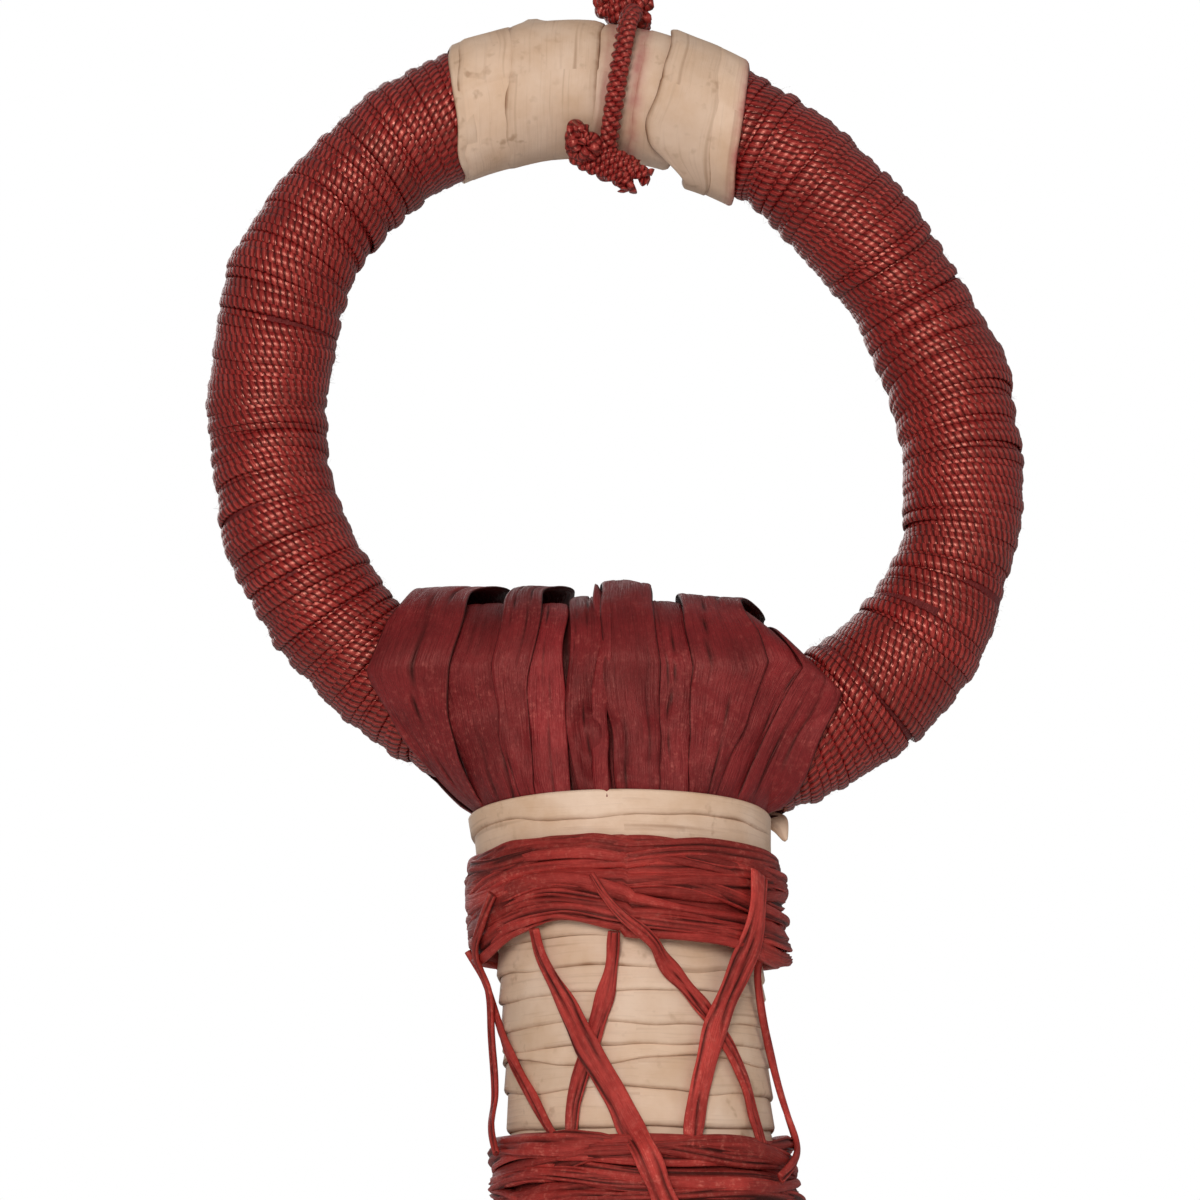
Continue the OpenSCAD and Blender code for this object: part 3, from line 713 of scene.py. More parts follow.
def tube_height(a, t):
    """How far the wound tube's surface stands off its even radius, in millimetres."""
    outer = -np.sin(np.radians(t))
    lift = 0.22 * swirl(np.radians(a) * RING_R / 9, np.radians(t), 11, 1.6, 1.0)
    lift = lift + 0.13 * swirl(np.radians(a) * RING_R / 2.6, np.radians(t) * 1.5, 12, 1.4, 1.0)
    for angle, side, height, half in LUMPS:
        away = (a - angle + 180) % 360 - 180
        lift = lift + height * hump(away, 0, half) * smooth(0.5 + 0.75 * outer * side)
    return lift


def wound_thread(start, end, first, last, turns, seed):
    """Turns first..last of the thread laid round the tube between two angles.

    The thread's centre is the tube's centreline + normal * (radius + lumps). Its profile has two plies
    that roll once in every twist: plies = 0.76 + 0.24 * |cos(psi + roll)|. It is flattened on the tube,
    along * 0.95 * pitch * plies * cos(psi) + normal * 0.55 * thickness * (0.45 + 0.55 * plies) * sin(psi),
    wide enough for each turn to overlap the next. Turns stray a little: evenly, aslant and in waves."""
    s = sizes()
    per_turn, columns = 132, 7
    phase = first + np.arange((last - first) * per_turn + 1) / per_turn
    t = 360 * phase
    rng = np.random.default_rng(seed)
    whole = np.arange(turns + 2)
    knots = np.clip(rng.normal(0, 1, (4, turns + 2)), -1.2, 1.2)
    shift, lift, slant, fat = (np.interp(phase, whole, k) for k in knots)
    a = mix(start, end, phase / turns)
    degree = (end - start) / turns
    a = a + degree * (0.07 * shift + 0.08 * slant * np.sin(np.radians(t))
                      + 1.1 * ripple(phase / 9, seed, 0.4, 2) * np.cos(np.radians(t)))
    centre, normal, along = tube_frame(a, t)
    height = TUBE_R - s.thread_thick / 2 + tube_height(a, t) + 0.05 * lift
    centre = centre + normal * height[:, None]
    run = lengths(centre)
    psi = np.linspace(0, TAU, columns, endpoint=False)[None]
    plies = 0.76 + 0.24 * np.abs(np.cos(psi + TAU * run[:, None] / s.thread_twist))
    half = s.thread_pitch * 0.95 * (1 + 0.06 * fat)[:, None] * plies * np.cos(psi)
    up = s.thread_thick * 0.55 * (0.45 + 0.55 * plies) * np.sin(psi)
    points = centre[:, None] + half[..., None] * along[:, None] + up[..., None] * normal[:, None]
    tints = np.interp(phase, whole, np.clip(0.5 + 0.17 * rng.normal(0, 1, turns + 2), 0, 1))
    return block(points, run, np.linspace(0, 1, columns + 1), False, tints[None, :, None])


def thread_bed(start, end):
    """The dyed bed under the thread, a closed tube that follows the lumps but covers the padding, darkened as
    painted shade where it shows between the thread's turns.
    """
    rows, columns = 160, 40
    a = np.linspace(start, end, rows)[:, None]
    t = np.linspace(0, 360, columns, endpoint=False)[None]
    centre, normal, _ = tube_frame(a + 0 * t, t + 0 * a)
    floor = width("ring_padding", 1) / 2 + 0.06
    r = np.maximum(floor, TUBE_R - 0.58 * sizes().thread_thick + tube_height(a, t))
    girth = np.linspace(0, 47, columns + 1)
    # Painted shade: the bed is darkened all over; it shows only in the gaps between turns.
    return block(centre + normal * r[..., None], lengths(ring_pt(a[:, 0])), girth, painted_shade_and_edge_line=0.3)


def fuzz(roots, normals, along, seed, length, thick):
    """Loose fibre ends: thin three-sided hairs that leave the surface and bend over."""
    rng = np.random.default_rng(seed)
    k = len(roots)
    s = np.linspace(0, 1, 5)[None, :, None]
    reach = length * rng.uniform(0.35, 1.0, (k, 1, 1))
    lean = rng.normal(0, 1, (k, 1, 1)) * along[:, None] + 0.5 * rng.normal(0, 1, (k, 1, 3))
    path = roots[:, None] + reach * (normals[:, None] * (s - 0.35 * s ** 2) * 0.8 + lean * s ** 1.6 * 0.6)
    psi = np.radians([0, 120, 240])
    ring = np.stack([np.cos(psi), np.sin(psi), 0 * psi], -1)
    offset = (ring[:, :1] * along[:, None] + ring[:, 1:2] * np.cross(normals, along)[:, None])[:, None]
    points = path[:, :, None] + thick * (1 - 0.6 * s[..., None]) * offset
    return block(points, np.linspace(0, 1, 5), np.linspace(0, 1, 4), False, rng.uniform(0.3, 1, k))


class WHISK_OT_ring(bpy.types.Operator):
    """Wind the ring with thread, and give the pieces inside it their materials"""
    bl_idname = "whisk.ring"
    bl_label = "Wound ring"

    def execute(self, context):
        # Each arc runs from under the crown's husk to under the fold, in degrees round the ring.
        for start, end, seed, side in ((110.5, 250.0, 21, "left"), (71.0, -70.0, 22, "right")):
            arc = lengths(ring_pt(np.linspace(start, end, 200)))[-1]
            turns = int(round(arc / sizes().thread_pitch))
            cuts = [0, turns // 2, turns]
            for k in range(2):
                thread = wound_thread(start, end, cuts[k], cuts[k + 1], turns, seed)
                new_piece("ring_thread_%s_%d" % (side, k + 1), [thread], "thread",
                          ["ring_winding"] if side == "left" else [])
            new_piece("ring_bed_" + side, [thread_bed(start, end)], "raffia_fold", slot="thread")
            rng = np.random.default_rng(seed + 50)
            hairs = 4200
            a, t = mix(start, end, rng.random(hairs)), rng.uniform(0, 360, hairs)
            centre, normal, along = tube_frame(a, t)
            roots = centre + normal * (TUBE_R - 0.1 + tube_height(a, t))[:, None]
            new_piece("ring_fuzz_" + side, [fuzz(roots, normal, along, seed, 0.75, 0.014)], "thread")
        repaint("ring_cane", "cane")
        repaint("ring_padding", "husk")
        return {"FINISHED"}


# ---------------------------------------------------------------- crown

def husk_lap(left, right, inner, outer, seed, lean=0.0, flap=None, mark=None, nub=None):
    """A husk strip round the ring's crown, its edges upright in X and slightly uneven.

    left and right are X in millimetres, inner and outer the radii of its wall at those edges, and
    lean shifts the strip in X from the tube's top to its bottom. flap(t, low, high) reshapes the
    edges, mark(place, t) is the dye bled into it, and nub is the X of a small knob on top."""
    t = np.linspace(0, 360, 150, endpoint=False)
    turn = np.radians(t)
    x, y = flat_profile(15, 5)
    share = (x + 1) / 2
    wave = 0.22 * rounds(turn, seed, 1, 7), 0.22 * rounds(turn, seed + 1, 1, 7)
    slope = -lean * np.sin(turn)
    low, high = (edge + wavy + slope for edge, wavy in zip((left, right), wave))
    if flap:
        low, high = flap(t, low, high)
    place = mix(low[:, None], high[:, None], share[None])
    wall = sizes().husk
    radius = mix(inner, outer, share[None]) + 0.12 * swirl(turn[:, None] * 3, place / 5, seed + 2, 1.2, 1.5)
    radius = radius + 0.05 * swirl(turn[:, None] * 9, place, seed + 3, 1.5, 1.2)
    if nub is not None:
        radius = radius + 1.15 * hump(place, nub, 1.0) ** 0.8 * hump(t[:, None], 266, 17)
    body = np.where(y >= 0, np.minimum(1, 1.6 * y), 0) * wall
    radius = radius - wall + body
    depth = np.sin(turn)[:, None] * radius
    # The ring angle whose section stands at this X: cos a = X / (centreline radius - depth).
    angle = 90 - np.degrees(np.arcsin(place / (np.linalg.norm(ring_pt(np.array(90.0))) - depth)))
    centre, normal, _ = tube_frame(angle, t[:, None] + 0 * angle)
    points = centre + normal * radius[..., None]
    rim = np.clip(hump(share, 0, 0.035) + hump(share, 1, 0.035), 0, 1) * (y >= 0)
    marks = mark(place, t[:, None] + 0 * place) if mark else 0.0
    along = np.linspace(0, TAU * outer, len(t) + 1)
    across = np.append(place.mean(0), place.mean(0)[0])
    tint = 0.5 + 0.18 * ((seed % 5) / 2 - 1)
    return block(points, along, across, True, tint, (rim * 0.95)[None, None], marks)


def rope(path, normal, radius, twist, strands=2, columns=8, start=0.0, fray=0.0, seed=3):
    """Plies twisted round a path: each ply's centre circles the path once in every twist length.

    With fray above 0 the plies spread apart towards the path's end."""
    s = lengths(path)
    side, up = square_to(path, normal)
    rng = np.random.default_rng(seed)
    out = []
    ply_r = radius * (0.60 if strands == 2 else 0.52)
    psi = np.linspace(0, TAU, columns, endpoint=False)
    taper = 1 - 0.35 * fray * smooth((s / s[-1] - 0.7) / 0.3)
    opening = fray * smooth((s / s[-1] - 0.6) / 0.4)
    for k in range(strands):
        turn = start + TAU * (s / twist + k / strands)
        spread = (radius - ply_r) * 0.92 * (1 + opening * rng.uniform(0.6, 2.2))
        centre = path + (np.cos(turn) * spread)[:, None] * side + (np.sin(turn) * spread)[:, None] * up
        points = (centre[:, None] + (ply_r * taper)[:, None, None]
                  * (np.cos(psi)[None, :, None] * side[:, None] + np.sin(psi)[None, :, None] * up[:, None]))
        out.append(block(points, s * 1.1, np.linspace(0, 1, columns + 1), False, 0.35 + 0.3 * rng.random()))
    return out


def arc_path(from_deg, to_deg, radius, x, n=60, sway=0.0):
    """Points on a circle round the crown's tube, from one place in X to another; 90 is the eye's
    side, 0 the front."""
    t = np.linspace(from_deg, to_deg, n)
    a = 90 - np.degrees(np.arcsin(mix(x[0], x[1], np.linspace(0, 1, n)) / RING_R))
    centre, normal, along = tube_frame(a, t)
    return centre + normal * radius - along * (sway * np.sin(np.radians(t * 2)))[:, None], normal


KNOT_DROP, KNOT_LEFT = 10.8, -1.2  # the lower knot's middle, from the crown's centreline and the cord


class WHISK_OT_crown(bpy.types.Operator):
    """Bind the ring's crown with husk strips and tie the cord over them"""
    bl_idname = "whisk.crown"
    bl_label = "Crown and tie"

    def execute(self, context):
        wraps = numbered("crown_wrap_")
        left, right = span(wraps[0])[0][0], span(wraps[-1])[1][0]
        tie_x, r = middle("crown_tie_front")[0], CROWN_R
        flap_x = tie_x + 5.2

        def pointed(t, low, high):
            """The right strip's left edge runs down the front to a point and then turns back."""
            front = hump(t, 40, 26)
            tip = smooth((t - 30) / 22) * (t < 180)
            return low - 1.5 * front + 4.2 * smooth((t - 52) / 30) * (t < 200) + 0.3 * tip, high

        def bled(place, t):
            """Dye next to the thread at the right end, and beside the cord."""
            return np.clip(hump(place, right, 0.9) + 0.7 * hump(place, tie_x - 1.9, 0.8)
                           + 0.8 * hump(place, tie_x + 1.9, 1.0), 0, 1)

        # Each lap: left and right edge, wall's radius at each, seed, lean, and the shape of its edges.
        laps = [
            (left, left + 2.6, r - 0.80, r - 0.60, 31, -1.2, None),
            (left + 0.9, left + 7.6, r - 0.45, r - 0.35, 34, -1.0, None),
            (left + 6.2, tie_x - 2.9, r - 0.15, r - 0.40, 37, -0.4, None),
            (tie_x - 3.6, tie_x + 2.6, r - 0.55, r - 0.75, 40, 0.4, None),
            (tie_x + 1.9, flap_x + 2.4, r - 0.70, r - 0.95, 43, 0.3, None),
            (flap_x, right - 3.2, r + 0.20, r - 0.25, 46, 0.1, pointed),
            (right - 4.4, right, r - 0.25, r - 0.55, 49, -0.1, None),
        ]
        for k, (low, high, inner, outer, seed, lean, flap) in enumerate(laps):
            lap = husk_lap(low, high, inner, outer, seed, lean, flap, bled, left + 8.6 if k == 2 else None)
            new_piece("crown_husk_%d" % (k + 1), [lap], "husk", wraps[k:k + 1])
        self.tie(tie_x)
        return {"FINISHED"}

    def tie(self, x):
        """The twisted cord over the crown, its top knot and its lower knot with two ends."""
        radius = width("crown_tie_front") / 2
        reach = CROWN_R + radius * 0.8
        twist = sizes().cord_twist
        front, up = arc_path(-96, 62, reach, (x, x - 0.7), 90, 0.1)
        new_piece("tie_cord_front", rope(front, up, radius, twist, 3, 10), "tie_cord", ["crown_tie_front"])
        back, up = arc_path(-88, -292, reach, (x + 0.8, x - 1.0), 110, 0.3)
        new_piece("tie_cord_back", rope(back, up, radius, twist, 3, 10), "tie_cord", ["crown_tie_back"])
        top = middle("crown_tie_top_knot")
        knot = []
        # Each coil: its place from the knot's middle, its axis, half length and half thickness.
        coils = [((0.35, -0.9, 0.9), (1, 0.05, 0.02), 3.0, 0.5), ((0.1, -0.8, -0.7), (1, 0, -0.1), 2.4, 0.5),
                 ((0.3, 1.0, 0.3), (1, -0.1, 0), 2.7, 1.2)]
        for k, (shift, axis, long, thick) in enumerate(coils):
            knot += self.coil(top + np.array(shift), np.array(axis), long, thick, 60 + k)
        new_piece("tie_top_knot", knot, "tie_cord", ["crown_tie_top_knot"])
        self.ends(x, reach)

    def ends(self, x, reach):
        """The lower knot and its ends, cords laid on the tube's front where it turns in to the eye.

        A route's points are X and height from the knot's middle, which hangs left of the cord."""
        crown_z = ring_pt(np.array(90.0))[2]
        routes = {
            "knot": ([(-3.3, 3.0), (-4.5, 3.2), (-5.0, 1.9), (-4.0, 0.9), (-1.6, 0.4), (1.0, -0.6),
                      (3.0, -1.4)],
                     [(-4.3, 2.4), (-4.8, 0.9), (-3.2, -0.4), (-1.0, -1.2), (0.8, -2.2), (2.3, -2.7)],
                     [(-2.4, 1.6), (-0.6, 1.0), (1.2, 0.2), (3.0, -0.8)]),
            "left": ([(-4.0, 1.4), (-4.9, 2.2), (-4.8, 3.0), (-4.1, 3.8)],),
            "right": ([(2.2, -0.8), (3.1, -1.4), (3.9, -1.9), (4.7, -2.3)],),
            "down": ([(0.6, -1.8), (1.3, -2.4), (1.7, -3.2), (1.6, -4.0)],),
        }
        stands = {"knot": ["crown_tie_lower_knot"], "left": ["crown_tie_tail_left"],
                  "right": ["crown_tie_tail_right"], "down": []}
        for k, (name, paths) in enumerate(routes.items()):
            cords = []
            for m, route in enumerate(paths):
                flat = through(route, 30)
                z = flat[:, 1] + crown_z - KNOT_DROP
                out = (reach + 0.5 * (m < 2)) ** 2 - (z - crown_z) ** 2
                y = -np.sqrt(np.maximum(out, 30.0)) - 0.4 * (m == 0)
                path = np.stack([flat[:, 0] + x + KNOT_LEFT, y, z], -1)
                up = np.tile([0.0, -1.0, 0.2], (30, 1))
                loose = 0.0 if name == "knot" else 0.5
                cords += rope(path, up, 1.2, 3.6, 3, 8, k + m * 1.3, loose, 80 + k + 5 * m)
            if name == "knot":
                lump = np.array([x - 4.7, -7.2, crown_z - 9.3])
                cords += self.coil(lump, np.array([0.75, 0.0, -0.65]), 1.1, 1.2, 77)
            new_piece("tie_end_" + name, cords, "tie_cord", stands[name])

    @staticmethod
    def coil(centre, axis, long, thick, seed):
        """One bight of cord in a knot: a stretched loop of rope about its axis."""
        axis = unit(axis)
        side = unit(np.cross(axis, [0.0, 1.0, 0.31]))
        t = np.linspace(0, TAU * 0.97, 56)
        path = centre + np.outer(np.cos(t) * long, axis) + np.outer(np.sin(t) * thick * 0.8, side)
        up = np.cross(axis, side)
        path = path + np.outer(0.35 * np.sin(2 * t + seed), up)
        return rope(path, np.tile(up, (56, 1)), 1.25, 3.8, 2, 9, seed * 0.7, 0.0, seed)


# ---------------------------------------------------------------- fold

FOLD_TOP = max(span(n)[1][2] for n in numbered("fold_strip_"))
# X of the fold's ends, along its top and half-way down the ring's front, in millimetres.
LEFT_TOP, LEFT_SIDE = -25.2, -29.3
RIGHT_TOP, RIGHT_SIDE = 22.7, 27.4
# How far t runs below 0, down to the collar.
LOW_TURN = 88.0
BED_R = TUBE_R + 0.1  # the fold lies on the winding
FOLD_LOW_R = width("neck_collar") / 2 - 1.25  # and goes into the collar


def past(u, start):
    """How far u is beyond start, as a share of what is left up to 1."""
    return np.clip((u - start) / (1 - start), 0, 1)


def fold_out(u, t):
    """Outside of the fold: u is 0..1 from left to right, t turns from the front over the top to the back.

    Above t = 0 it is a quarter oval from the fold's side to its top, and below it runs in to the
    collar's circle. The back mirrors the front, and no point comes nearer to the hoop than its bed."""
    t = np.asarray(t, float)
    back = t > 90
    t = np.where(back, 180 - t, t)
    top_z = FOLD_TOP - 0.6 - 9 * (0.12 * smooth((u - 0.55) / 0.3) + 0.88 * past(u, 0.86) ** 1.3)
    top = np.stack([mix(LEFT_TOP, RIGHT_TOP, u), 0 * u, top_z], -1)
    side = np.stack([mix(LEFT_SIDE, RIGHT_SIDE, u), -(10 + 5.5 * np.sin(np.pi * u).clip(0) ** 0.7),
                     top_z - 10.5 * (1 - 0.6 * past(u, 0.8))], -1)
    turn = np.radians(-83 + 166 * u)
    low = np.stack([NECK_X + FOLD_LOW_R * np.sin(turn), -FOLD_LOW_R * np.cos(turn),
                    NECK_TOP + 0.3 + 0 * u], -1)
    up = np.radians(np.clip(t, 0, 90))[..., None]
    share = np.clip(-t / LOW_TURN, 0, 1)
    arch = np.concatenate([mix(side[..., :1], top[..., :1], np.sin(up)), side[..., 1:2] * np.cos(up),
                           mix(side[..., 2:], top[..., 2:], np.sin(up))], -1)
    leg = np.stack([mix(side[..., 0], low[..., 0], share ** 1.35), mix(side[..., 1], low[..., 1], share),
                    mix(side[..., 2], low[..., 2], share)], -1)
    p = np.where((t >= 0)[..., None], arch, leg)
    p[..., 1] = np.where(back, -p[..., 1], p[..., 1])
    hoop = ring_pt(np.degrees(np.arctan2(p[..., 2], p[..., 0])))
    away = p - hoop
    reach = np.linalg.norm(away, axis=-1, keepdims=True)
    return hoop + away * np.maximum(1, (BED_R + 1.35 - 0.7 * share[..., None]) / reach)


def fold_bed(u, t):
    """Where the fold would touch the winding, over the same u and t. The angles of its two ends round
    the ring come nearer together towards the collar."""
    folded = np.where(t > 90, 180 - t, t)
    up, down = np.sin(np.radians(np.clip(folded, 0, 90))), np.clip(-folded / LOW_TURN, 0, 1)
    left = -131 - 9 * up + 21 * down
    right = -50.5 - 2.5 * up - 16.5 * down
    centre, normal, _ = tube_frame(mix(left, right, u), t + 0 * u)
    return centre + normal * BED_R


def fold_pt(u, t, depth):
    """A point at a depth in millimetres under the fold's outside, mostly square to it, and partly
    towards the bed: out + depth * unit(unit(bed - out) - 2 * normal)."""
    u = np.asarray(u, float) + 0 * np.asarray(t, float)
    t = np.asarray(t, float) + 0 * u
    out = fold_out(u, t)
    across = fold_out(u + 0.01, t) - fold_out(u - 0.01, t)
    normal = unit(np.cross(across, fold_out(u, t + 1) - fold_out(u, t - 1)))
    return out + unit(unit(fold_bed(u, t) - out) - 2 * normal) * depth[..., None]


# Each strip of the fold: its share of the width at the top and at the collar (left, right), how far
# it stands out, how much its top rises, how far its right edge runs on over the top, how crumpled
# it is, and its brightness.
STRIPS = [
    ((-0.012, 0.172), (-0.01, 0.088), 0.25, 0.7, 0.085, 0.35, 0.50),
    ((0.150, 0.275), (0.070, 0.258), -0.20, -1.2, 0.0, 0.40, 0.34),
    ((0.262, 0.350), (0.235, 0.288), 0.30, 0.6, 0.075, 0.50, 0.42),
    ((0.326, 0.415), (0.275, 0.386), -0.10, -1.5, 0.0, 0.35, 0.88),
    ((0.420, 0.500), (0.392, 0.480), 0.05, -0.7, 0.0, 1.30, 0.30),
    ((0.495, 0.622), (0.492, 0.588), 0.45, 1.1, 0.0, 0.90, 0.36),
    ((0.600, 0.702), (0.580, 0.664), -0.15, -0.5, 0.0, 0.45, 0.48),
    ((0.690, 0.850), (0.655, 0.733), 0.35, 0.3, 0.065, 1.00, 0.46),
    ((0.820, 0.948), (0.715, 0.828), -0.20, -1.0, 0.0, 0.40, 0.60),
    ((0.925, 1.012), (0.800, 1.010), 0.15, -0.1, 0.0, 0.20, 0.55),
]


def fold_strip(index, strip):
    """A broad strip over the ring: a point is the fold's outside at (u, t) raised by the strip's height.

    height = stand-off + rise at the top + crown across the width - furrows + crumples + edge roll."""
    (top_l, top_r), (low_l, low_r), out, rise, flap, crumpled, tint = strip
    t = np.linspace(-LOW_TURN - 6, 180 + LOW_TURN + 6, 150)[:, None]
    x, y = flat_profile(31, 5)
    folded = np.where(t > 90, 180 - t, t)
    share = np.clip(-folded / LOW_TURN, 0, 1.1)
    left = mix(top_l, low_l, share) + 0.004 * ripple(t / 20, 400 + index, 0.5, 2.5)
    right = mix(top_r, low_r, share) + 0.004 * ripple(t / 20, 420 + index, 0.5, 2.5)
    over_top = smooth((t - 62) / 34) * (1 - 0.6 * smooth((t - 150) / 60))
    right = right + flap * over_top
    across = (x[None] + 1) / 2
    u = mix(left, right, across)
    s = np.radians(t) * 14
    flat_s = s + 0 * x[None]
    cut = creases(x[None], flat_s, 500 + index, 2, 0.035, 0.20, 0.14)
    fine = creases(x[None], flat_s, 600 + index, 8, 0.022, 0.06, 0.2)
    fold_line = swirl(s, x[None] * 4, 700 + index, 0.9, 1.0, 7)
    crumple = np.abs(fold_line) ** 0.7 * np.sign(fold_line)
    front_low = hump(share, 0.55, 0.38) * np.where(t < 90, 1.0, 0.5)
    height = 1.5 * out + rise * hump(t, 95, 42)
    height = height + 0.22 * (1 - x[None] ** 2) - 0.34 * cut - 0.12 * fine
    height = height + crumpled * crumple * (0.09 + 0.42 * front_low)
    height = height + 0.3 * smooth((x[None] - 0.8) / 0.2) * (flap > 0) * smooth(1.2 - share)
    wall = sizes().ribbon
    height = height * (1 - 0.8 * smooth((share - 0.86) / 0.12))
    height = np.where(y[None] >= 0, height + wall * np.minimum(1, 2 * y[None]), height - wall)
    points = fold_pt(np.broadcast_to(u, height.shape), np.clip(t, -LOW_TURN, 180 + LOW_TURN) + 0 * u, -height)
    beyond = np.maximum(0, np.abs(t - 90) - (90 + LOW_TURN))
    points[..., 2] -= beyond * 0.45
    # Painted shade: darker in the creases, along the strip's edges where it meets its neighbours, and on its
    # underside.
    painted_shade_and_edge_line = np.clip(0.8 * cut + 0.12 * fine + 0.9 * hump(np.abs(x[None]), 1.0, 0.03), 0, 1) * (y[None] >= 0)
    painted_shade_and_edge_line = painted_shade_and_edge_line + 0.25 * (y[None] < 0)
    centre = fold_pt((left + right)[:, 0] / 2, np.clip(t[:, 0], -LOW_TURN, 180 + LOW_TURN), 0 * t[:, 0])
    mean = 0.5 * (top_r - top_l + low_r - low_l) * RING_R
    shade = tint + 0.10 * ripple(s, 800 + index, 0.1, 0.5)
    shade = shade + 0.06 * swirl(s, x[None] * 2, 850 + index, 0.5, 1.5)
    lay = np.append(x, x[0]) * mean / 2
    return block(points, lengths(centre), lay, False, shade[None], painted_shade_and_edge_line[None])


class WHISK_OT_fold(bpy.types.Operator):
    """Fold the raffia strips over the ring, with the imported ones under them"""
    bl_idname = "whisk.fold"
    bl_label = "Raffia fold"

    def execute(self, context):
        nodes = numbered("fold_strip_")
        for k, strip in enumerate(STRIPS):
            new_piece("fold_strip_%02d" % (k + 1), [fold_strip(k, strip)], "raffia_fold", nodes[k:k + 1])
        self.twist()
        self.bundle()
        repaint("hank_core", "raffia_fold")
        return {"FINISHED"}

    def twist(self):
        """The narrow strip that lies twisted between the broad ones."""
        t = np.linspace(-LOW_TURN, 150, 90)
        u = 0.492 + 0.010 * ripple(t / 25, 31, 0.5, 2.0) - 0.028 * smooth(-t / LOW_TURN)
        proud = np.full_like(t, -0.75)
        centre = fold_pt(u, t, proud)
        side = unit(fold_pt(u + 0.01, t, proud) - centre)
        normal = np.cross(unit(np.gradient(centre, axis=0)), side)
        side, normal = rolled(side, normal, 0.9 * ripple(t / 14, 32, 0.4, 1.0))
        piece = strand(centre, normal, side, 1.05, 0.35, 901, False, 0.6, 11, 3)
        new_piece("fold_twist", [piece], "raffia_fold", ["fold_twist"])

    def bundle(self):
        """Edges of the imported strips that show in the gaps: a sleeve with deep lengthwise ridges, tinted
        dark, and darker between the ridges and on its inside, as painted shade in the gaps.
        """
        u = np.linspace(0.03, 0.97, 150)
        t = np.linspace(-LOW_TURN, 180 + LOW_TURN, 60)[:, None]
        deep, tall, wall = 1.1, 0.35, 0.8
        ridge = tall * np.abs(np.sin(u * 75 + 0.5 * np.sin(t / 30)))
        outer = fold_pt(u[None] + 0 * t, t + 0 * u[None], deep - ridge)
        inside = u[None, ::10] + 0 * t
        inner = fold_pt(inside, t + 0 * inside, deep + wall + 0 * inside)
        points = np.concatenate([outer, inner[:, ::-1]], 1)
        # Painted shade: darkest between the ridges and all over the inside.
        painted_shade_and_edge_line = np.concatenate([1 - ridge / tall, np.ones(inside.shape)], 1)
        lay = np.linspace(0, 50, points.shape[1] + 1)
        piece = block(points, lengths(points[:, 75]), lay, False, 0.25, painted_shade_and_edge_line[None])
        new_piece("fold_bundle", [piece], "raffia_fold", ["fold_core"])


# ---------------------------------------------------------------- neck

def husk_course(top, base, r_top, r_base, seed, rows=220, edge=0.16, tint=0.5, line=0.8):
    """A husk strip round the neck: a thin wall between two wavering edges, browner along its edges."""
    phi = np.linspace(0, 360, rows, endpoint=False)
    turn = np.radians(phi)[:, None]
    x, y = flat_profile(15, 5)
    share = (x[None] + 1) / 2
    low = base + edge * rounds(turn, seed, 1, 5) + 0.3 * edge * rounds(turn, seed + 1, 6, 15)
    z = mix(low, top, share)
    wall = sizes().husk
    r = mix(r_base, r_top, share) + 0.07 * rounds(turn, seed + 2, 1, 6)
    r = r + 0.04 * swirl(turn * 4, z, seed + 3, 2, 1)
    r = r - wall + np.where(y[None] >= 0, np.minimum(1, 1.7 * y[None]), 0) * wall
    axis, normal = neck_frame(phi[:, None], z)
    fade = 0.5 + 0.5 * rounds(turn, seed + 4, 1, 6)
    rim = hump(share * abs(top - base), 0.0, 0.34) * fade.clip(0.1, 1) * (y[None] >= 0)
    along = np.linspace(0, TAU * r_base, rows + 1)
    across = np.append(z.mean(0), z.mean(0)[0])
    return block(axis + normal * r[..., None], along, across, True, tint, line * rim[None])


def around_neck(phi, z, r):
    """Centre, outward normal and upward side of a strand that runs round the neck."""
    axis, normal = neck_frame(phi, z)
    centre = axis + normal * r[:, None]
    along = unit(np.roll(centre, -1, 0) - np.roll(centre, 1, 0))
    return centre, normal, np.cross(along, normal)


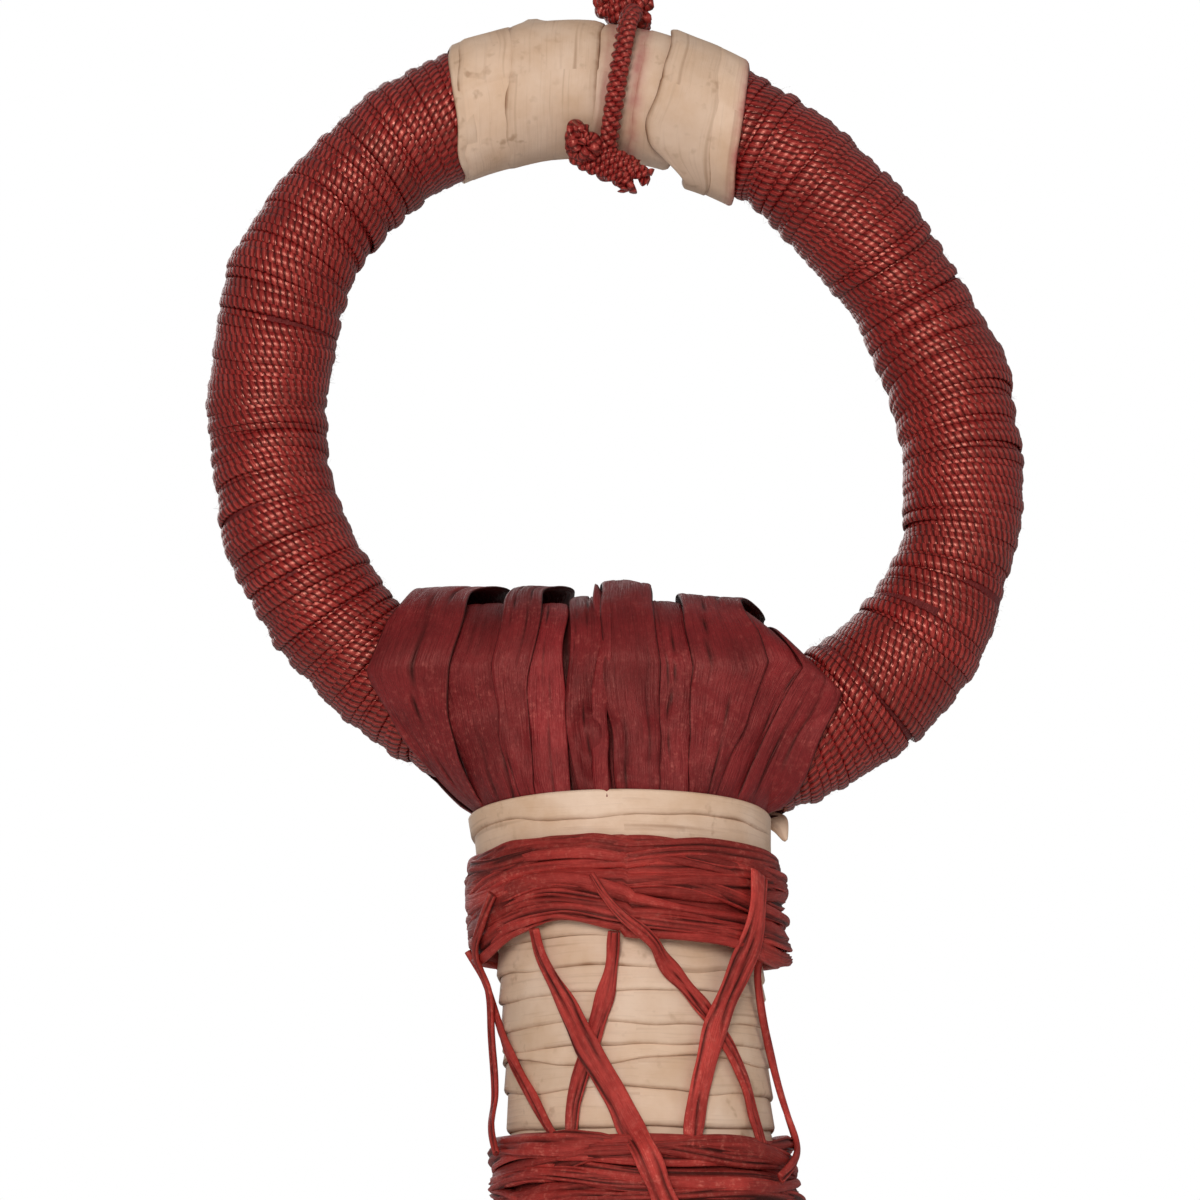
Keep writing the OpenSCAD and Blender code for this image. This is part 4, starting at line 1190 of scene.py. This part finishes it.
class WHISK_OT_neck(bpy.types.Operator):
    """Wrap the neck in husk, with a collar at each end"""
    bl_idname = "whisk.neck"
    bl_label = "Husk neck"

    def execute(self, context):
        rng = np.random.default_rng(7)
        for k, node in enumerate(numbered("husk_course_")):
            low, high = span(node)
            piece = husk_course(high[2] + 0.7, low[2] - 0.12, HUSK_R - 0.5, HUSK_R + 0.02, 130 + 7 * k,
                                edge=0.34, tint=0.45 + 0.25 * rng.random(), line=1.0)
            new_piece("husk_course_%02d" % (k + 1), [piece], "husk", [node])
        r_top, r_base = width("neck_collar") / 2, width("neck_collar") / 2 - 0.75
        top, base = COLLAR_HIGH[2], COLLAR_LOW[2]
        laps = [husk_course(top - 2.3, base, r_top - 0.5, r_base, 210, edge=0.12, tint=0.72, line=0.8),
                husk_course(top, top - 2.9, r_top - 0.05, r_top - 0.32, 220, edge=0.55, tint=0.78, line=0.85)]
        new_piece("neck_collar_husk", laps, "husk", ["neck_collar"])
        r = width("mouth_collar") / 2
        laps = [husk_course(MOUTH_HIGH[2] - 2.6, MOUTH_Z, r - 0.45, r - 0.35, 230, edge=0.15, tint=0.5),
                husk_course(MOUTH_HIGH[2], MOUTH_HIGH[2] - 3.2, r - 0.2, r - 0.1, 240, edge=0.3, tint=0.58)]
        new_piece("mouth_collar_husk", laps, "husk", ["mouth_collar"])
        self.tail()
        return {"FINISHED"}

    def tail(self):
        """The collar strip's loose end, a small curled tongue behind the neck's right side."""
        low, high = span("collar_tail")
        y = (low[1] + high[1]) / 2
        path = through([(low[0] - 2.6, y + 0.4, high[2] + 0.9), (low[0] - 0.4, y, high[2] + 0.4),
                        (low[0] + 1.0, y - 0.1, high[2] - 0.5), (low[0] + 1.7, y, high[2] - 2.4)], 24)
        side, normal = (np.tile(v, (24, 1)) for v in ([0.75, 0.05, 0.65], [0.1, -1.0, 0.1]))
        share = np.linspace(0, 1, 24)
        half = mix(0.9, 1.5, hump(share, 0.6, 0.3)) * np.sqrt(1 - (0.985 * share) ** 3)
        piece = strand(path, normal, side, half, 0.28, 5, False, 0.6, 9, 1, 0.2)
        new_piece("collar_tail_husk", [piece], "husk", ["collar_tail"])


def lashing(top, base, radius, seed, passes, sag):
    """Crumpled strands round the neck, on three broad ones that close the gaps and are tinted dark as
    painted shade there: each has its own height, tilt, width and depth in the bundle.

    sag(phi) moves the bundle's lower strands up or down round the neck."""
    rng = np.random.default_rng(seed)
    rows = 210
    phi = np.linspace(0, 360, rows, endpoint=False)
    turn = np.radians(phi)
    strands = []
    for level in (0.24, 0.5, 0.76):
        z = mix(top, base, level) + sag(phi) * level
        centre, normal, side = around_neck(phi, z, np.full(rows, radius - 2.1))
        broad = seed + int(100 * level)
        # Painted shade: the broad strands lie deepest and are tinted dark, as shade in the gaps between the
        # crumpled strands.
        strands.append(strand(centre, normal, side, 2.3, 0.5, broad, True, 0.15, 15, 6, 0.6))
    for k in range(passes):
        level = (k + 0.5) / passes
        height = mix(top, base, level) + rng.normal(0, 0.25)
        tilt = rng.uniform(0.9, 2.7) * (0.45 + 0.55 * math.sin(math.pi * level))
        z = height + tilt * np.sin(turn + rng.uniform(0, TAU)) + 0.42 * rounds(turn, seed + 11 * k, 1, 5)
        z = z + sag(phi) * level
        half = rng.uniform(0.8, 1.6) * (1 + 0.24 * rounds(turn, seed + 13 * k, 1, 5)).clip(0.4, 1.7)
        thick = rng.uniform(0.55, 0.85) * (1 + 0.2 * rounds(turn, seed + 17 * k, 1, 5))
        crown = 0.8 * math.sin(math.pi * min(1, max(0, level * 0.9 + 0.08))) ** 0.6
        depth = radius - 1.65 + crown + 0.2 * rng.normal() + 0.42 * rounds(turn, seed + 19 * k, 1, 4)
        z = np.clip(z, base + 0.5 * half + sag(phi), top - 0.4 * half)
        centre, normal, side = around_neck(phi, z, np.minimum(depth, radius - 0.6))
        side, normal = rolled(side, normal, 0.42 * rounds(turn, seed + 23 * k, 1, 4))
        tint = 0.45 + rng.uniform(-0.3, 0.35) + 0.14 * rounds(turn, seed + 29 * k, 1, 5)
        strands.append(strand(centre, normal, side, half, thick, seed + 31 * k, True, tint, 15, 7, 0.8))
    return strands


class WHISK_OT_lashings(bpy.types.Operator):
    """Lash the neck with two bundles of crumpled raffia"""
    bl_idname = "whisk.lashings"
    bl_label = "Lashings"

    def execute(self, context):
        def upper_sag(phi):
            return (2.5 * hump(phi, 331, 25) + 0.7 * hump(phi, 0, 25) + 0.7 * hump(phi, 360, 25)
                    - 1.2 * hump(phi, 66, 26) - 0.6 * hump(phi, 285, 16) + 0.9 * hump(phi, 170, 40))

        def lower_sag(phi):
            return 0.6 * np.sin(np.radians(phi) * 2 + 1)

        fill = {"upper": (BAND1, BAND1_R, 310, 17, upper_sag), "lower": (BAND2, BAND2_R, 350, 16, lower_sag)}
        for name, (band, radius, seed, passes, sag) in fill.items():
            strands = lashing(band[0], band[1], radius, seed, passes, sag)
            nodes = numbered(name + "_band_turn_")
            cuts = np.linspace(0, len(strands), len(nodes) + 1).astype(int)
            for k, node in enumerate(nodes):
                part = strands[cuts[k]:cuts[k + 1]]
                new_piece("%s_lashing_%d" % (name, k + 1), part, "raffia_lashing", [node])
        return {"FINISHED"}


# ---------------------------------------------------------------- lacing

# Each strand: listed points (millimetres below the upper lashing's base, degrees round the neck
# from the front, millimetres off the husk), half widths at its start, middle and end, brightness.
LACES = [
    ([(-6.2, -53, 3.9), (-3, -60, 4.1), (0, -71, 3.4), (4, -79, 1.4), (10, -82, 1.2), (17, -82, 1.2),
      (21, -71, 2.6), (24, -62, 3.4)], (0.75, 0.85, 0.55), 0.45),
    ([(-1, -90, 3.4), (3, -89, 1.4), (8, -80, 0.3), (12, -66, 0.3), (16, -54, 0.3), (20, -44, 0.3),
      (23, -34, 1.2)], (0.5, 0.8, 0.55), 0.5),
    ([(-1.8, -38, 2.2), (1.5, -38, 0.9), (7, -28, 0.7), (12, -19, 1.5), (17, -11, 0.8), (21.5, -4, 1.0),
      (24.5, 0.5, 3.3), (29, 5, 3.3), (33, 9, 3.0)], (0.7, 1.55, 1.65), 0.72),
    ([(-1, -6, 2.0), (2, -8, 0.4), (6, -12, 0.3), (10, -17, 0.3), (14, -23, 0.3), (18, -28, 0.3),
      (22, -30, 0.6), (24, -31, 1.6)], (0.7, 1.15, 0.6), 0.62),
    ([(-7.4, -12, 3.8), (-5, -8, 4.0), (-2.5, -2, 4.0), (0, 7, 2.9), (2.2, 13, 0.9), (6, 25, 0.4),
      (9, 34, 0.4), (12, 42, 0.3), (16, 49, 0.4), (19.5, 53, 0.4), (23, 51, 1.8)], (0.45, 1.0, 0.85), 0.55),
    ([(-8.5, 53, 3.6), (-4, 48.5, 4.1), (-0.4, 46.5, 3.4), (2.5, 43.5, 2.4), (7.5, 35, 1.6), (13, 28.5, 0.8),
      (18, 23.5, 0.5), (22, 20, 0.9), (23.5, 19, 1.8)], (1.9, 1.6, 0.95), 0.78),
    ([(-1, 60, 2.9), (2, 61, 1.0), (6, 64, 0.6), (11, 70, 0.6), (15.5, 77, 0.9), (19, 82, 1.5), (22, 80, 2.4),
      (24.5, 70, 3.0), (27, 56, 3.0)], (0.6, 0.6, 0.7), 0.5),
    ([(-3, 118, 3.4), (2, 123, 0.8), (9, 133, 0.3), (16, 148, 0.3), (21, 156, 0.6), (26, 161, 3.0)],
     (0.8, 1.1, 0.7), 0.5),
    ([(-3, 166, 3.4), (2, 156, 0.8), (10, 138, 1.5), (16, 126, 0.5), (21, 118, 0.6), (26, 111, 3.0)],
     (0.8, 1.3, 0.7), 0.6),
    ([(-3, 192, 3.4), (2, 200, 0.8), (9, 214, 0.3), (16, 228, 0.3), (21, 236, 0.6), (26, 243, 3.0)],
     (0.8, 1.0, 0.7), 0.55),
    ([(-3, 247, 3.4), (2, 238, 0.8), (10, 218, 1.5), (16, 204, 0.5), (21, 196, 0.6), (26, 187, 3.0)],
     (0.8, 1.2, 0.7), 0.5),
]


def lace(index):
    """A flattened lacing strand laid over the husk, folded lengthwise, along its listed points.

    It carries a strand's furrowed profile, rolled a little about its own line as it goes."""
    route, (first, half, last), tint = LACES[index]
    rows = through(route, 130)
    z, phi, off = BAND1[1] - rows[:, 0], rows[:, 1], rows[:, 2]
    axis, normal = neck_frame(phi, z)
    centre = axis + normal * (HUSK_R + off)[:, None]
    side, normal = square_to(centre, normal)
    s = lengths(centre)
    share = s / s[-1]
    wide = np.interp(share, [0, 0.4, 0.75, 1], [first, half, half, last])
    wide = wide * (1 + 0.07 * ripple(s, 950 + index, 0.25, 0.9))
    side, normal = rolled(side, normal, 0.20 * ripple(s, 970 + index, 0.12, 0.4))
    shade = tint + 0.12 * ripple(s, 980 + index, 0.1, 0.4)
    return strand(centre, normal, side, wide, 0.50, 990 + index, False, shade + 0.12, 17, 4, 0.95)


class WHISK_OT_lacing(bpy.types.Operator):
    """Lay the crossed lacing between the two lashings"""
    bl_idname = "whisk.lacing"
    bl_label = "Lacing"

    def execute(self, context):
        for k, node in enumerate(numbered("lace_")):
            new_piece("lacing_%02d" % (k + 1), [lace(k)], "raffia_lashing", [node])
        return {"FINISHED"}


# ---------------------------------------------------------------- skirt

class WHISK_OT_skirt(bpy.types.Operator):
    """Hang the loose raffia strips from the neck's mouth"""
    bl_idname = "whisk.skirt"
    bl_label = "Raffia skirt"

    def execute(self, context):
        low, high = span("skirt")
        count, rows = sizes().skirt_strips, 30
        rng = np.random.default_rng(41)
        k = np.arange(count)
        # The roots are spread evenly over the mouth, each one golden angle (radians) on from the last.
        spread = np.sqrt((k + 0.5) / count)[:, None]
        turn = k * 2.39996
        s = np.linspace(0, 1, rows)[None]
        mouth_x = NECK_X + LEAN * (NECK_TOP - MOUTH_Z)
        root_r = width("mouth_collar") / 2 - 2.0
        hem_x, hem_y = (high[0] - low[0]) / 2 - 3.0, (high[1] - low[1]) / 2 - 1.5
        drift = (low[0] + high[0]) / 2 - mouth_x
        reach = rng.uniform(0.86, 0.995, count)[:, None]
        z = mix(MOUTH_Z + 3.5, low[2] + 1.5, s * reach)
        fall = smooth(s * 1.05) * 0.35 + 0.65 * s ** 0.85
        jitter = rng.normal(0, 1, (count, 2, 1))
        x_end = hem_x * np.cos(turn)[:, None] * spread + 3.0 * jitter[:, 0]
        y_end = hem_y * np.sin(turn)[:, None] * spread + 1.5 * jitter[:, 1]
        x_end = np.clip(x_end, -hem_x, hem_x)
        y_end = np.clip(y_end, -hem_y, hem_y)
        x = mix(root_r * np.cos(turn)[:, None] * spread, x_end, fall)
        y = mix(root_r * np.sin(turn)[:, None] * spread, y_end, fall)
        waver = smooth(s * 3) * (0.4 + 0.6 * s)
        phase = rng.uniform(0, TAU, (2, count, 1))
        pace = rng.uniform(3, 9, (2, count, 1))
        x = x + waver * 1.9 * np.sin(pace[0] * s + phase[0]) * (1 - 0.5 * spread)
        y = y + waver * 1.3 * np.sin(pace[1] * s + phase[1]) * (1 - 0.5 * spread)
        x = np.clip(x + mouth_x + drift * s ** 1.2, low[0] + 1.5, high[0] - 1.5)
        path = np.stack([x, np.clip(y, low[1] + 1, high[1] - 1), z], -1)
        facing = (turn + rng.normal(0, 0.5, count))[:, None] + 1.6 * np.sin(
            rng.uniform(1, 4, (count, 1)) * s + rng.uniform(0, TAU, (count, 1)))
        side, normal = square_to(path, np.stack([np.cos(facing), np.sin(facing), 0 * facing], -1))
        half = rng.uniform(1.0, 2.6, (count, 1)) * mix(0.75, 1.0, smooth(s * 4))
        half = half * (1 - 0.75 * smooth((s - 0.93) / 0.07) * rng.random((count, 1)))
        # A strip's profile: five points across its outside, two across its inside.
        px = np.array([-1.0, -0.45, 0.0, 0.45, 1.0, 0.35, -0.35])
        bend = rng.uniform(-0.5, 0.9, (count, 1, 1))
        cup = bend * (1 - px ** 2)[None, None] * half[..., None] * 0.5
        crease = 0.35 * rng.random((count, 1, 1)) * (np.abs(px) < 0.1)[None, None]
        wall = np.where(np.arange(7) < 5, 0.14, -0.14)[None, None]
        lift = cup - crease + wall
        points = (path[:, :, None] + (half[..., None] * px)[..., None] * side[:, :, None]
                  + lift[..., None] * normal[:, :, None])
        lay = np.append(px, px[0])[None] * rng.uniform(1.2, 2.2, (count, 1)) + 40 * rng.random((count, 1))
        tint = np.clip(0.45 + 0.22 * rng.normal(0, 1, count), 0.05, 0.95)
        # Painted shade: darker along each strip's middle crease, more so for strips near the middle of the
        # skirt.
        painted_shade_and_edge_line = (0.8 * (np.abs(px) < 0.1) * np.ones((count, rows, 1))
                  * np.clip(1 - spread[..., None] * 1.1 + 0.2, 0.1, 1))
        piece = block(points, lengths(path), lay, False, tint, painted_shade_and_edge_line)
        skirt = new_piece("skirt_strips", [piece], "raffia_skirt", ["skirt"], body=None)
        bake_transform(skirt)
        return {"FINISHED"}


# ---------------------------------------------------------------- stage

FLOOR_DROP = 0.03  # from the skirt's end down to the floor, in metres
# Name, place and width in metres, and watts of each lamp. All of them face LAMPS_FACE.
LAMPS = [("key", (-0.12, -0.95, 0.12), 0.34, 5.2), ("side", (0.9, -0.4, 0.35), 0.5, 0.8),
         ("back", (-0.35, 0.95, 0.35), 0.7, 1.6)]
LAMPS_FACE = (0.0, 0.0, -0.05)


class WHISK_OT_stage(bpy.types.Operator):
    """Set the floor, the soft lights, the white surroundings and the camera"""
    bl_idname = "whisk.stage"
    bl_label = "Stage"

    def execute(self, context):
        scene = context.scene
        low = CAD_BOX[0][2] - FLOOR_DROP
        corners = [(x, y, low) for x, y in ((-4, -4), (4, -4), (4, 4), (-4, 4))]
        mesh = bpy.data.meshes.new("floor")
        mesh.from_pydata(corners, [], [(0, 1, 2, 3)])
        floor = bpy.data.objects.new("floor", mesh)
        scene.collection.objects.link(floor)
        material = bpy.data.materials.new("floor")
        material.use_nodes = True
        bsdf = material.node_tree.nodes["Principled BSDF"]
        bsdf.inputs["Base Color"].default_value = (0.86, 0.86, 0.86, 1)
        bsdf.inputs["Roughness"].default_value = 0.9
        mesh.materials.append(material)
        for name, place, edge, power in LAMPS:
            lamp = bpy.data.lights.new(name, "AREA")
            lamp.shape, lamp.size, lamp.energy = "DISK", edge, power
            light = bpy.data.objects.new(name, lamp)
            light.location = place
            light.rotation_euler = self.aim(np.array(place) - np.array(LAMPS_FACE))
            scene.collection.objects.link(light)
        self.surroundings(scene)
        self.camera(scene)
        scene.view_settings.view_transform = "Standard"
        scene.view_settings.look = "None"
        return {"FINISHED"}

    @staticmethod
    def aim(away):
        """Rotation that turns -Z against a direction."""
        flat = math.hypot(away[0], away[1])
        return (math.atan2(flat, away[2]), 0.0, math.atan2(away[0], -away[1]))

    @staticmethod
    def surroundings(scene):
        """White to the eye, and softer as a light than as a background."""
        world = bpy.data.worlds.new("studio")
        world.use_nodes = True
        n = Nodes(world.node_tree)
        output = world.node_tree.nodes["World Output"]
        seen = world.node_tree.nodes["Background"]
        seen.inputs["Color"].default_value = (1, 1, 1, 1)
        seen.inputs["Strength"].default_value = 1.0
        lit = n.add("ShaderNodeBackground", {"Color": (1, 0.99, 0.98, 1), "Strength": 0.27})
        ray = n.add("ShaderNodeLightPath").outputs["Is Camera Ray"]
        both = n.add("ShaderNodeMixShader", {0: ray, 1: lit.outputs[0], 2: seen.outputs[0]})
        world.node_tree.links.new(both.outputs[0], output.inputs["Surface"])
        scene.world = world

    @staticmethod
    def camera(scene):
        """The camera stands half a metre off, level with the neck, and looks up at the ring."""
        up, away = math.radians(10.0), 0.5
        target = np.array([-0.0015, 0.0, -0.02125])
        data = bpy.data.cameras.new("camera")
        data.sensor_width = 36.0
        data.lens = 120.0
        camera = bpy.data.objects.new("camera", data)
        camera.location = target - away * np.array([0.0, math.cos(up), math.sin(up)])
        camera.rotation_euler = (math.pi / 2 + up, 0.0, 0.0)
        scene.collection.objects.link(camera)
        scene.camera = camera


# ---------------------------------------------------------------- add-on

STEPS = (WHISK_OT_stage, WHISK_OT_ring, WHISK_OT_crown, WHISK_OT_fold, WHISK_OT_neck, WHISK_OT_lashings,
         WHISK_OT_lacing, WHISK_OT_skirt)


class WHISK_PT_panel(bpy.types.Panel):
    """Lists the whisk's pieces and settings"""
    bl_idname = "WHISK_PT_panel"
    bl_label = "Raffia Whisk"
    bl_space_type = "VIEW_3D"
    bl_region_type = "UI"
    bl_category = "Whisk"

    def draw(self, context):
        for step in STEPS:
            self.layout.operator(step.bl_idname)
        for settings in (context.scene.whisk_sizes, context.scene.whisk_colours):
            for name in settings.bl_rna.properties.keys():
                if name not in ("rna_type", "name"):
                    self.layout.prop(settings, name)


CLASSES = (WhiskColours, WhiskSizes, *STEPS, WHISK_PT_panel)


def register():
    for item in CLASSES:
        bpy.utils.register_class(item)
    bpy.types.Scene.whisk_sizes = bpy.props.PointerProperty(type=WhiskSizes)
    bpy.types.Scene.whisk_colours = bpy.props.PointerProperty(type=WhiskColours)


def unregister():
    del bpy.types.Scene.whisk_sizes
    del bpy.types.Scene.whisk_colours
    for item in reversed(CLASSES):
        bpy.utils.unregister_class(item)


def main():
    register()
    for step in STEPS:
        space, name = step.bl_idname.split(".")
        getattr(getattr(bpy.ops, space), name)()


if __name__ == "__main__":
    main()
